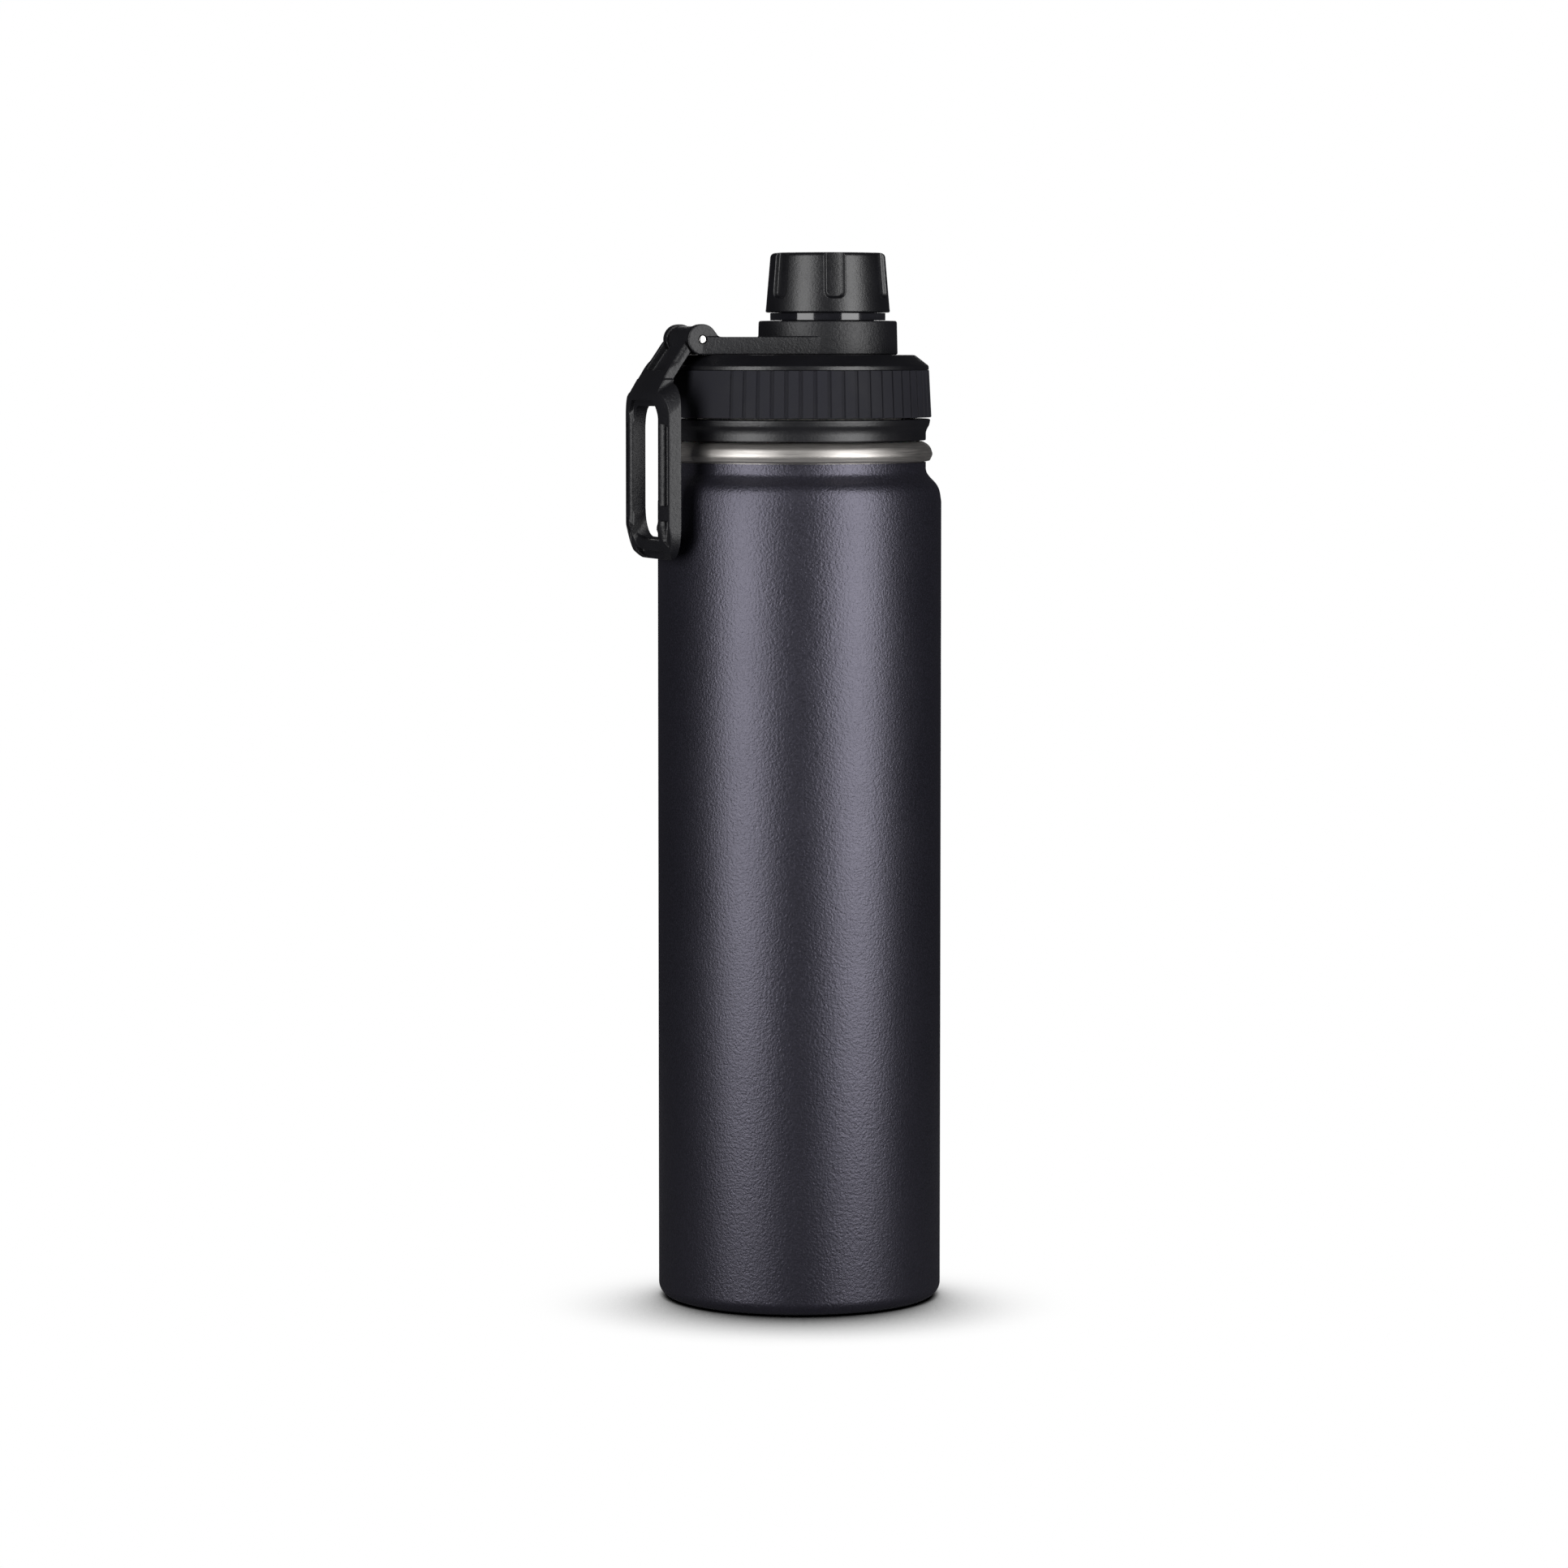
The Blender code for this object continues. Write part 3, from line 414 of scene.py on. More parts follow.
def finished(item, node, material, body, sharp=38.0):
    """Shade the piece, give it its material and slot, and let it ride in place of its CAD node."""
    item.data.materials.clear()
    item.data.materials.append(material)
    item.data.shade_smooth()
    if sharp:
        item.data.set_sharp_from_angle(angle=math.radians(sharp))
        weighted = item.modifiers.new("weighted", "WEIGHTED_NORMAL")
        weighted.keep_sharp = True
    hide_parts(node)
    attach(item, body)


# ---- materials

class Surface:
    """A Principled material with short ways to add grain and variation."""

    def __init__(self, name, roughness, metallic=0.0, **sockets):
        self.material = bpy.data.materials.new(name)
        self.material.use_nodes = True
        self.tree = self.material.node_tree
        self.shader = self.tree.nodes["Principled BSDF"]
        self.shader.inputs["Roughness"].default_value = roughness
        self.shader.inputs["Metallic"].default_value = metallic
        for socket, value in sockets.items():
            self.shader.inputs[socket.replace("_", " ")].default_value = value
        self.place = self.tree.nodes.new("ShaderNodeTexCoord").outputs["Object"]
        self.normal = None

    def node(self, kind):
        return self.tree.nodes.new(kind)

    def join(self, out, into):
        self.tree.links.new(out, into)

    def math(self, operation, a, b=None):
        item = self.node("ShaderNodeMath")
        item.operation = operation
        for socket, value in zip(item.inputs, (a, b)):
            if value is None:
                continue
            if isinstance(value, (int, float)):
                socket.default_value = value
            else:
                self.join(value, socket)
        return item.outputs[0]

    def noise(self, scale, detail=2.0, roughness=0.5, place=None):
        item = self.node("ShaderNodeTexNoise")
        item.inputs["Scale"].default_value = scale
        item.inputs["Detail"].default_value = detail
        item.inputs["Roughness"].default_value = roughness
        self.join(place or self.place, item.inputs["Vector"])
        return item.outputs["Fac"]

    def cells(self, scale):
        item = self.node("ShaderNodeTexVoronoi")
        item.inputs["Scale"].default_value = scale
        self.join(self.place, item.inputs["Vector"])
        return item.outputs["Distance"]

    def blend(self, a, b, share):
        """Sum of share parts of a and the rest of b."""
        return self.math("ADD", self.math("MULTIPLY", a, share), self.math("MULTIPLY", b, 1.0 - share))

    def colour(self, value, *stops):
        """Base colour from a value; stops are (position, colour)."""
        item = self.node("ShaderNodeValToRGB")
        elements = item.color_ramp.elements
        while len(elements) < len(stops):
            elements.new(0.5)
        for element, (position, colour) in zip(elements, stops):
            element.position = position
            element.color = (*colour, 1.0)
        self.join(value, item.inputs["Fac"])
        self.join(item.outputs["Color"], self.shader.inputs["Base Color"])

    def shades(self, value, colour, *stops):
        """Base colour from a value; stops are (position, brightness) of one colour."""
        shaded = [(position, tuple(channel * factor for channel in colour)) for position, factor in stops]
        self.colour(value, *shaded)

    def rough(self, value, to_low, to_high, low=0.3, high=0.7):
        """Roughness from a value that runs from low to high."""
        item = self.node("ShaderNodeMapRange")
        limits = {"From Min": low, "From Max": high, "To Min": to_low, "To Max": to_high}
        for name, number in limits.items():
            item.inputs[name].default_value = number
        self.join(value, item.inputs["Value"])
        self.join(item.outputs["Result"], self.shader.inputs["Roughness"])

    def bump(self, height, distance):
        item = self.node("ShaderNodeBump")
        item.inputs["Distance"].default_value = distance
        self.join(height, item.inputs["Height"])
        if self.normal is not None:
            self.join(self.normal, item.inputs["Normal"])
        self.normal = item.outputs["Normal"]

    def done(self):
        if self.normal is not None:
            self.join(self.normal, self.shader.inputs["Normal"])
        return self.material


def round_place(surface, axis_x, along, around):
    """Coordinates that run round a vertical axis: close together in height and radius, long round it."""
    split = surface.node("ShaderNodeSeparateXYZ")
    surface.join(surface.place, split.inputs[0])
    x = surface.math("SUBTRACT", split.outputs["X"], axis_x)
    y = split.outputs["Y"]
    angle = surface.math("ARCTAN2", y, x)
    radius = surface.math("SQRT", surface.math("ADD", surface.math("MULTIPLY", x, x),
                                               surface.math("MULTIPLY", y, y)))
    gather = surface.node("ShaderNodeCombineXYZ")
    surface.join(surface.math("MULTIPLY", angle, around), gather.inputs["X"])
    surface.join(surface.math("MULTIPLY", radius, along), gather.inputs["Y"])
    surface.join(surface.math("MULTIPLY", split.outputs["Z"], along), gather.inputs["Z"])
    return gather.outputs[0]


def powder_coat():
    """Blue-black coat with an orange-peel texture and a fine speckle."""
    colour = (0.0058, 0.0056, 0.0086)
    s = Surface("powder_coat", 0.42, IOR=1.5, Specular_IOR_Level=1.0, Specular_Tint=(0.84, 0.81, 1.0, 1.0))
    grain = s.noise(2300.0, 2.0, 0.55)
    blotch = s.noise(45.0, 3.0)
    s.shades(grain, colour, (0.30, 0.62), (0.52, 1.0), (0.74, 1.9))
    s.rough(s.blend(blotch, grain, 0.35), 0.33, 0.44)
    s.bump(s.noise(1500.0, 2.0), 0.00010)
    s.bump(grain, 0.00006)
    return s.done()


def moulded(name, colour, roughness, grain_scale, grain_depth, shine=0.5):
    """Plastic with a spark-eroded grain."""
    s = Surface(name, roughness, IOR=1.49, Specular_IOR_Level=shine)
    spread = 0.06
    grain = s.noise(grain_scale, 3.0, 0.6)
    wear = s.noise(70.0, 4.0)
    s.shades(wear, colour, (0.30, 0.82), (0.55, 1.0), (0.78, 1.35))
    s.rough(s.blend(wear, grain, 0.5), roughness - spread, roughness + spread)
    s.bump(grain, grain_depth)
    s.bump(s.noise(260.0, 1.0), grain_depth * 0.6)
    return s.done()


def band_rubber():
    colour = (0.0105, 0.0105, 0.0150)
    s = Surface("band_rubber", 0.75, IOR=1.45, Specular_IOR_Level=0.30)
    grain = s.noise(3000.0, 2.0, 0.6)
    dust = s.noise(110.0, 4.0, 0.6)
    s.shades(dust, colour, (0.28, 0.85), (0.55, 1.0), (0.80, 1.3))
    s.rough(dust, 0.68, 0.82)
    s.bump(grain, 0.000025)
    return s.done()


def gloss_black():
    s = Surface("gloss_black", 0.10, IOR=1.52, Coat_Weight=0.4, Coat_Roughness=0.05)
    place = round_place(s, SPOUT_X, 2600.0, 6.0)
    hair = s.noise(1.0, 3.0, 0.6, place)
    smudge = s.noise(120.0, 3.0)
    s.colour(smudge, (0.3, (0.008, 0.008, 0.010)), (0.7, (0.014, 0.014, 0.017)))
    s.rough(smudge, 0.07, 0.16)
    s.bump(hair, 0.000002)
    return s.done()


def turned_steel():
    """Stainless steel with fine turning lines round the bottle's axis."""
    colour = (0.46, 0.44, 0.42)
    s = Surface("steel", 0.38, 1.0)
    place = round_place(s, 0.0, 3500.0, 5.0)
    lines = s.noise(1.0, 4.0, 0.65, place)
    stain = s.noise(60.0, 4.0)
    s.shades(stain, colour, (0.3, 0.86), (0.55, 1.0), (0.8, 1.1))
    s.rough(lines, 0.38, 0.52)
    s.bump(lines, 0.0000025)
    return s.done()


def pin_steel():
    s = Surface("pin_steel", 0.2, 1.0)
    lines = s.noise(2500.0, 3.0, 0.6)
    s.colour(lines, (0.3, (0.56, 0.55, 0.54)), (0.7, (0.72, 0.71, 0.70)))
    s.rough(lines, 0.14, 0.28)
    s.bump(lines, 0.000003)
    return s.done()


def silicone():
    colour = (0.46, 0.47, 0.48)
    s = Surface("silicone", 0.5, IOR=1.41, Subsurface_Weight=0.25, Subsurface_Scale=0.001)
    dust = s.noise(150.0, 4.0, 0.6)
    s.shades(dust, colour, (0.3, 0.88), (0.6, 1.0), (0.85, 1.08))
    s.rough(dust, 0.42, 0.60)
    s.bump(s.noise(2600.0, 2.0), 0.000015)
    return s.done()


def foam():
    colour = (0.62, 0.60, 0.55)
    s = Surface("foam", 0.9, Sheen_Weight=0.1)
    cell = s.cells(900.0)
    s.shades(cell, colour, (0.05, 0.70), (0.40, 1.0), (0.90, 1.12))
    s.rough(cell, 0.96, 0.80, 0.0, 0.8)
    s.bump(cell, 0.0002)
    return s.done()


def solder_glass():
    s = Surface("solder_glass", 0.3, IOR=1.6)
    flow = s.noise(700.0, 3.0)
    s.colour(flow, (0.3, (0.07, 0.07, 0.08)), (0.7, (0.14, 0.14, 0.15)))
    s.rough(flow, 0.2, 0.4)
    s.bump(flow, 0.00008)
    return s.done()


def getter_metal():
    s = Surface("getter_metal", 0.55, 1.0)
    grain = s.cells(5200.0)
    s.colour(grain, (0.05, (0.20, 0.19, 0.18)), (0.6, (0.36, 0.35, 0.33)))
    s.rough(grain, 0.70, 0.45, 0.0, 0.8)
    s.bump(grain, 0.00006)
    return s.done()


# ---- the bottle

def make_outer_shell(coat):
    corner = (BODY_RADIUS - BASE_CORNER, BASE_CORNER)
    outside = [(BASE_OPENING, 0.12 * MM), (BASE_OPENING + 0.12 * MM, 0.0)]
    outside += arc(corner, BASE_CORNER, -90, 0, 12)
    heights = (BASE_CORNER + 0.8 * MM, 60.0 * MM, 150.0 * MM, SHOULDER - 2.0 * MM)
    outside += [(BODY_RADIUS, height) for height in heights]
    outside += curved([(BODY_RADIUS, SHOULDER), (36.02 * MM, 208.6 * MM), (35.1 * MM, 210.4 * MM),
                       (33.7 * MM, 211.9 * MM), (32.8 * MM, 213.1 * MM), (NECK_RADIUS, 214.2 * MM)], 5)
    outside += [(NECK_RADIUS, NECK_TOP), (NECK_RADIUS - OUTER_WALL, NECK_TOP)]
    inside = [(NECK_RADIUS - OUTER_WALL, 213.8 * MM)]
    inside += [(33.3 * MM, 211.6 * MM), (34.8 * MM, 209.9 * MM), (BODY_RADIUS - OUTER_WALL, SHOULDER)]
    inside += arc(corner, BASE_CORNER - OUTER_WALL, 0, -90, 6) + [(BASE_OPENING, OUTER_WALL)]
    shell = new_object("outer_shell_coated", turned(outside + inside, ROUND_STEPS))
    finished(shell, "outer_shell", coat, "bottle")


def make_base_cover(coat):
    edge = 0.2 * MM
    radius = BASE_OPENING - GAP
    top = high_z("base_cover")
    profile = [(0.0, 0.0), (radius * 0.5, 0.0), (radius - edge, 0.0), (radius, edge)]
    profile += [(radius, top), (0.0, top)]
    cover = new_object("base_cover_coated", turned(profile, SMALL_STEPS))
    finished(cover, "base_cover", coat, "bottle")


def make_inner_base(steel):
    outer = CAVITY_RADIUS + INNER_WALL
    corner = INNER_SEAM - INNER_FLOOR
    profile = [(0.0, INNER_FLOOR), (INNER_FLAT, INNER_FLOOR)]
    profile += arc((outer - corner, INNER_SEAM), corner, -90, 0, 12)
    profile += arc((outer - corner, INNER_SEAM), corner - INNER_WALL, 0, -90, 12)
    profile += [(INNER_FLAT, INNER_FLOOR + INNER_WALL), (0.0, INNER_FLOOR + INNER_WALL)]
    base = new_object("inner_base_turned", turned(profile, SMALL_STEPS))
    finished(base, "inner_base", steel, "bottle")


def make_inner_shell(steel):
    """Inside tube, threaded mouth and the rolled lip."""
    tube_outer = CAVITY_RADIUS + INNER_WALL
    mouth_outer = MOUTH_RADIUS + MOUTH_WALL
    outside = [(tube_outer, INNER_SEAM + GAP), (tube_outer, TUBE_TOP), (mouth_outer, MOUTH_LOW + 0.4 * MM)]
    outside += [(mouth_outer, LIP_UNDER)]
    outside += curved([(32.9 * MM, LIP_UNDER), (33.5 * MM, 216.35 * MM), (33.85 * MM, 217.0 * MM),
                       (LIP_RADIUS, 217.9 * MM), (34.0 * MM, 218.8 * MM), (33.6 * MM, 219.75 * MM),
                       (32.7 * MM, 220.65 * MM), (31.6 * MM, LIP_TOP), (31.1 * MM, 221.05 * MM),
                       (MOUTH_RADIUS, 220.4 * MM)], 4)
    inside = [(MOUTH_RADIUS, 219.9 * MM), (MOUTH_RADIUS, MOUTH_LOW), (CAVITY_RADIUS, 198.6 * MM)]
    inside += [(CAVITY_RADIUS, 197.0 * MM), (CAVITY_RADIUS, INNER_SEAM + GAP)]
    shell = new_object("inner_shell_turned", turned(outside + inside, ROUND_STEPS))
    join(shell, thread(MOUTH_RADIUS, -1.0, 206.4 * MM, LID_THREAD))
    finished(shell, "inner_shell", steel, "bottle")


# ---- the lid

def make_lid_base_ring(black):
    profile = [(LID_BORE, RING_LOW)]
    profile += curved([(32.2 * MM, RING_LOW), (32.42 * MM, RING_LOW + 0.08 * MM),
                       (32.5 * MM, RING_LOW + 0.3 * MM)], 3)
    profile += curved([(32.5 * MM, 222.9 * MM), (32.52 * MM, 223.5 * MM), (32.8 * MM, 224.4 * MM),
                       (33.3 * MM, 225.3 * MM), (RING_RADIUS, 226.1 * MM), (33.6 * MM, 226.65 * MM),
                       (33.45 * MM, 226.9 * MM), (33.2 * MM, RING_TOP)], 4)
    profile += [(LID_BORE, RING_TOP)]
    ring = new_object("lid_base_ring_moulded", turned(profile, ROUND_STEPS))
    finished(ring, "lid_base_ring", black, "lid")


def band_columns():
    """(degrees, depth share) round the band: smooth on the panel, a sharp groove at every pitch."""
    columns = [(180.0 - PANEL_HALF_ANGLE + 1.5 * step, 0.0) for step in range(1, 52)]
    flanks = [(GROOVE_HALF + GROOVE_WALL, 0.0), (GROOVE_HALF + GROOVE_WALL * 0.75, 0.12)]
    flanks += [(GROOVE_HALF + GROOVE_WALL * 0.5, 0.45), (GROOVE_HALF + GROOVE_WALL * 0.2, 0.88)]
    flanks += [(GROOVE_HALF - 0.1, 1.0)]
    groove = [(-offset, share) for offset, share in flanks] + [(0.0, 1.0)]
    groove += [(offset, share) for offset, share in reversed(flanks)]
    for pitch in range(GROOVE_PITCHES + 1):
        centre = 180.0 + PANEL_HALF_ANGLE + GROOVE_PITCH * pitch
        columns += [(centre + offset, share) for offset, share in groove]
        if pitch < GROOVE_PITCHES:
            columns += [(centre + offset, 0.0) for offset in (1.0, 1.8, 2.7, 3.6, 4.5, 5.3)]
    return sorted(columns)


def make_grip_band(rubber):
    edge = 0.22 * MM
    top_edge = 0.12 * MM
    top = COVER_LOW - 0.05 * MM
    rows = [(BAND_BORE, BAND_LOW), (BAND_LOW_RADIUS - edge - 0.5 * MM, BAND_LOW)]
    rows += arc((BAND_LOW_RADIUS - edge, BAND_LOW + edge), edge, -90, 0, 4)
    for step in range(1, 8):
        share = step / 8.0
        rows.append((BAND_LOW_RADIUS + (BAND_TOP_RADIUS - BAND_LOW_RADIUS) * share,
                     BAND_LOW + edge + (top - BAND_LOW - 2.0 * edge) * share))
    rows += arc((BAND_TOP_RADIUS - top_edge, top - top_edge), top_edge, 0, 90, 3)
    rows += [(BAND_TOP_RADIUS - edge - 0.5 * MM, top), (BAND_BORE, top)]
    columns = band_columns()
    angles = [math.radians(degrees) for degrees, share in columns]

    def kept(index, radius, height):
        outside = radius > BAND_BORE + 1.0 * MM
        return radius - columns[index][1] * GROOVE_DEPTH if outside else radius

    band = new_object("grip_band_ribbed", carved(rows, angles, kept))
    finished(band, "grip_band", rubber, "lid", sharp=30.0)


def make_lid_cover(black):
    under = LID_TOP - COVER_WALL
    profile = [(LID_BORE, RING_TOP + GAP), (SKIRT_RADIUS, RING_TOP + GAP), (SKIRT_RADIUS, COVER_LOW)]
    profile += [(33.08 * MM, COVER_LOW), (COVER_RADIUS, COVER_LOW + 0.12 * MM), (COVER_RADIUS, 240.2 * MM)]
    profile += curved([(33.19 * MM, 240.35 * MM), (33.08 * MM, 240.6 * MM), (32.85 * MM, 240.85 * MM)], 4)
    profile += curved([(30.0 * MM, 243.05 * MM), (29.65 * MM, 243.28 * MM), (29.2 * MM, 243.38 * MM),
                       (28.8 * MM, LID_TOP)], 3)
    profile += [(27.5 * MM, LID_TOP), (0.0, LID_TOP), (0.0, under)]
    profile += [(LID_BORE - 1.0 * MM, under), (LID_BORE, under - 1.0 * MM)]
    cover = new_object("lid_cover_moulded", turned(profile, ROUND_STEPS))
    boss = rod(BOSS_RADIUS, LID_TOP - 1.0 * MM, BOSS_TOP, SMALL_STEPS, SPOUT_X)
    join(cover, boss)
    bore = rod(BOSS_BORE, under - 5.0 * MM, BOSS_TOP + 5.0 * MM, SMALL_STEPS, SPOUT_X)
    cut(cover, bore)
    finished(cover, "lid_cover", black, "lid")


def make_lid_core(plastic):
    profile = [(CORE_BORE, CORE_LOW), (CORE_ROOT - 0.6 * MM, CORE_LOW)]
    profile += [(CORE_ROOT - 0.15 * MM, CORE_LOW + 0.2 * MM), (CORE_ROOT, CORE_LOW + 0.6 * MM)]
    profile += [(CORE_ROOT, 216.2 * MM), (CORE_NECK, 216.8 * MM), (CORE_NECK, RING_LOW)]
    profile += [(LID_BORE - GAP, RING_LOW), (LID_BORE - GAP, CORE_TOP), (CORE_BORE, CORE_TOP)]
    core = new_object("lid_core_threaded", turned(profile, ROUND_STEPS))
    join(core, thread(CORE_ROOT, 1.0, 204.4 * MM, LID_THREAD))
    finished(core, "lid_core", plastic, "lid")


def make_lid_bottom_plate(plastic):
    plate_top = high_z("lid_bottom_plate")
    radius = CORE_BORE - GAP
    edge = 0.3 * MM
    profile = [(0.0, CORE_LOW), (radius - edge, CORE_LOW), (radius, CORE_LOW + edge), (radius, plate_top)]
    profile += [(0.0, plate_top)]
    plate = new_object("lid_bottom_plate_moulded", turned(profile, SMALL_STEPS))
    bore = rod(SPOUT_ROOT + GAP, CORE_LOW - 1.0 * MM, plate_top + 1.0 * MM, SMALL_STEPS, SPOUT_X)
    cut(plate, bore)
    finished(plate, "lid_bottom_plate", plastic, "lid")


def make_lid_gasket(rubber):
    outer = MOUTH_RADIUS - GAP
    inner = CORE_NECK + GAP
    low = low_z("lid_gasket")
    top = high_z("lid_gasket")
    profile = [(inner, low)]
    # two lips, in millimetres inward and up
    lips = [(0.5, 0.0), (0.1, 0.35), (0.0, 0.7), (0.3, 1.2), (0.5, 1.6), (0.2, 2.1), (0.0, 2.5)]
    lips += [(0.25, 3.2), (0.4, 3.8)]
    profile += curved([(outer - a * MM, low + b * MM) for a, b in lips], 3)
    profile += [(outer - 0.55 * MM, top), (inner, top)]
    gasket = new_object("lid_gasket_lipped", turned(profile, ROUND_STEPS))
    finished(gasket, "lid_gasket", rubber, "lid_seal")


# ---- spout, collar and cap

def make_spout(plastic):
    edge = 0.3 * MM
    profile = [(SPOUT_BORE, CORE_LOW + edge), (SPOUT_BORE + edge, CORE_LOW), (SPOUT_ROOT, CORE_LOW)]
    profile += [(SPOUT_ROOT, FLANGE_LOW), (FLANGE_RADIUS, FLANGE_LOW)]
    profile += [(FLANGE_RADIUS, FLANGE_TOP), (SPOUT_SHOULDER, FLANGE_TOP)]
    profile += [(SPOUT_SHOULDER, 254.3 * MM), (SPOUT_SHOULDER - edge, 254.6 * MM), (SPOUT_ROOT, 255.3 * MM)]
    profile += [(SPOUT_ROOT, SPOUT_TOP - 0.9 * MM)]
    near_top = SPOUT_TOP - 0.15 * MM
    profile += curved([(SPOUT_ROOT - 0.02 * MM, SPOUT_TOP - 0.7 * MM), (SPOUT_ROOT - 0.3 * MM, near_top),
                       (SPOUT_ROOT - 0.8 * MM, SPOUT_TOP), (SPOUT_BORE + 0.3 * MM, near_top),
                       (SPOUT_BORE, SPOUT_TOP - 0.6 * MM)], 4)
    spout = new_object("spout_threaded", turned(profile, SMALL_STEPS, SPOUT_X))
    join(spout, thread(SPOUT_ROOT, 1.0, 256.4 * MM, CAP_THREAD, SPOUT_X))
    finished(spout, "spout", plastic, "lid")


def make_collar_retainer(gloss):
    low = COLLAR_TOP + 0.1 * MM
    top = CAP_LOW - 0.1 * MM
    edge = 0.12 * MM
    corners = [(BOSS_BORE, low, 0.0), (RETAINER_RADIUS, low, edge), (RETAINER_RADIUS, top, edge)]
    corners += [(BOSS_BORE, top, 0.0)]
    ring = new_object("collar_retainer_polished", turned(rounded(corners, 6), ROUND_STEPS, SPOUT_X))
    finished(ring, "collar_retainer", gloss, "lid")


def make_swivel_arm(black):
    """Collar, flat arm and the two ears of the hinge, moulded as one piece."""
    corners = [(COLLAR_BORE, COLLAR_LOW, 0.0), (COLLAR_RADIUS, COLLAR_LOW, 0.3 * MM)]
    corners += [(COLLAR_RADIUS - 0.2 * MM, COLLAR_TOP, 0.5 * MM), (COLLAR_BORE, COLLAR_TOP, 0.3 * MM)]
    arm = new_object("swivel_arm_moulded", turned(rounded(corners, 4), ROUND_STEPS, SPOUT_X))
    root_x = SPOUT_X - 8.0 * MM
    outline = [(root_x, ARM_ROOT_Y), (HINGE_X, EAR_OUTER_Y), (HINGE_X, -EAR_OUTER_Y), (root_x, -ARM_ROOT_Y)]
    join(arm, prism(outline, "Z", COLLAR_LOW + 0.02 * MM, ARM_TOP))
    join(arm, cross_rod(EAR_RADIUS, -EAR_OUTER_Y, EAR_OUTER_Y, SMALL_STEPS))
    # where the ears run into the arm's top, in millimetres from the hinge
    fillet = [(0.0, 0.0), (0.9, 3.78), (2.2, 3.05), (3.1, 2.3), (3.7, 1.6), (4.1, 1.0)]
    fillet += [(4.6, 0.75), (5.2, 0.63), (5.2, 0.0)]
    fillet = [(HINGE_X + a * MM, HINGE_Z + b * MM) for a, b in fillet]
    join(arm, prism(fillet, "Y", -EAR_OUTER_Y + 0.02 * MM, EAR_OUTER_Y - 0.02 * MM))
    slot = [(-40.0 * MM, -EAR_INNER_Y), (EAR_SLOT_X, -EAR_INNER_Y), (EAR_SLOT_X, EAR_INNER_Y)]
    slot += [(-40.0 * MM, EAR_INNER_Y)]
    cut(arm, prism(slot, "Z", 240.0 * MM, 255.0 * MM))
    bore = rod(COLLAR_BORE + 0.05 * MM, 240.0 * MM, 256.0 * MM, ROUND_STEPS, SPOUT_X)
    cut(arm, bore)
    melted(arm)
    cut(arm, cross_rod(PIN_HOLE, -20.0 * MM, 20.0 * MM, HINGE_BORE_STEPS))
    finished(arm, "swivel_arm", black, "swivel", sharp=50.0)


def make_hinge_pin(steel):
    end = EAR_OUTER_Y - 0.05 * MM
    dome = 0.15 * MM
    dome_steps = 6
    profile = [(0.0, -end)]
    for step in range(1, dome_steps + 1):
        tilt = math.radians(90.0 * step / dome_steps)
        profile.append((PIN_RADIUS * math.sin(tilt), -end + dome * (1.0 - math.cos(tilt))))
    profile += [(radius, -height) for radius, height in reversed(profile)]
    bm = turned(profile, HINGE_BORE_STEPS)
    bm.transform(hinge_place())
    pin = new_object("hinge_pin_polished", bm)
    finished(pin, "hinge_pin", steel, "swivel")


def handle_side_outline():
    """(x, z) outline of the handle's plate, from inside the barrel down to the loop's foot."""
    corners = [(*SLOPE_TOP, 0.0), (HANDLE_FRONT, SLOPE_LOW_Z, 5.0 * MM)]
    corners += [(HANDLE_FRONT, FOOT_BEND, 2.0 * MM), (RIDGE_X, RIDGE_Z, 0.5 * MM)]
    corners += [(HANDLE_BACK, HANDLE_LOW, 0.6 * MM), (HANDLE_BACK, 236.45 * MM, 2.5 * MM)]
    corners += [(-30.55 * MM, 247.8 * MM, 0.0)]
    return rounded(corners, 10)


def handle_front_outline():
    """(y, z) outline of the whole handle."""
    above = 252.0 * MM
    shoulder = 237.3 * MM
    middle = 210.0 * MM
    top = [(EAR_OUTER_Y, above, 0.0), (EAR_OUTER_Y, shoulder, 0.3 * MM)]
    top += [(HANDLE_HALF, shoulder, 7.1 * MM), (HANDLE_HALF, middle, 0.0), (0.0, middle, 0.0)]
    half = [spot for spot in rounded(top + [(0.0, above, 0.0)], 14) if spot[0] > 0.0]
    half += arc((HANDLE_HALF - HANDLE_CORNER, CORNER_Z), HANDLE_CORNER, 0, -76, 14)
    half += [(6.7 * MM, 190.95 * MM), (3.0 * MM, HANDLE_LOW + 0.05 * MM)]
    return half + [(0.0, HANDLE_LOW)] + [(-a, b) for a, b in reversed(half)]


def window_outline(grow=0.0):
    """(y, z) outline of the finger window, with tall corners at the top, pushed outward by grow."""
    wide, tall, low_corner = 4.0 * MM, 6.0 * MM, 7.5 * MM
    top = arc((WINDOW_HALF - wide, WINDOW_TOP - tall), wide + grow, 90, 0, 12, tall + grow)
    foot = arc((WINDOW_HALF - low_corner, WINDOW_LOW + low_corner), low_corner + grow, 0, -90, 16)
    return both_sides(top + foot)


def window_flare():
    """Cuts the slope that leads from the window's foot down to the ridge in front of it."""
    corners = [(10.2 * MM, WINDOW_LOW + 14.0 * MM, 0.0), (10.8 * MM, WINDOW_LOW, 6.5 * MM)]
    bm = prism(rounded(mirrored(corners), 12), "X", -25.0 * MM, 0.0)
    return slanted(bm, (WINDOW_LOW - RIDGE_Z) / (HANDLE_BACK - RIDGE_X), HANDLE_BACK)


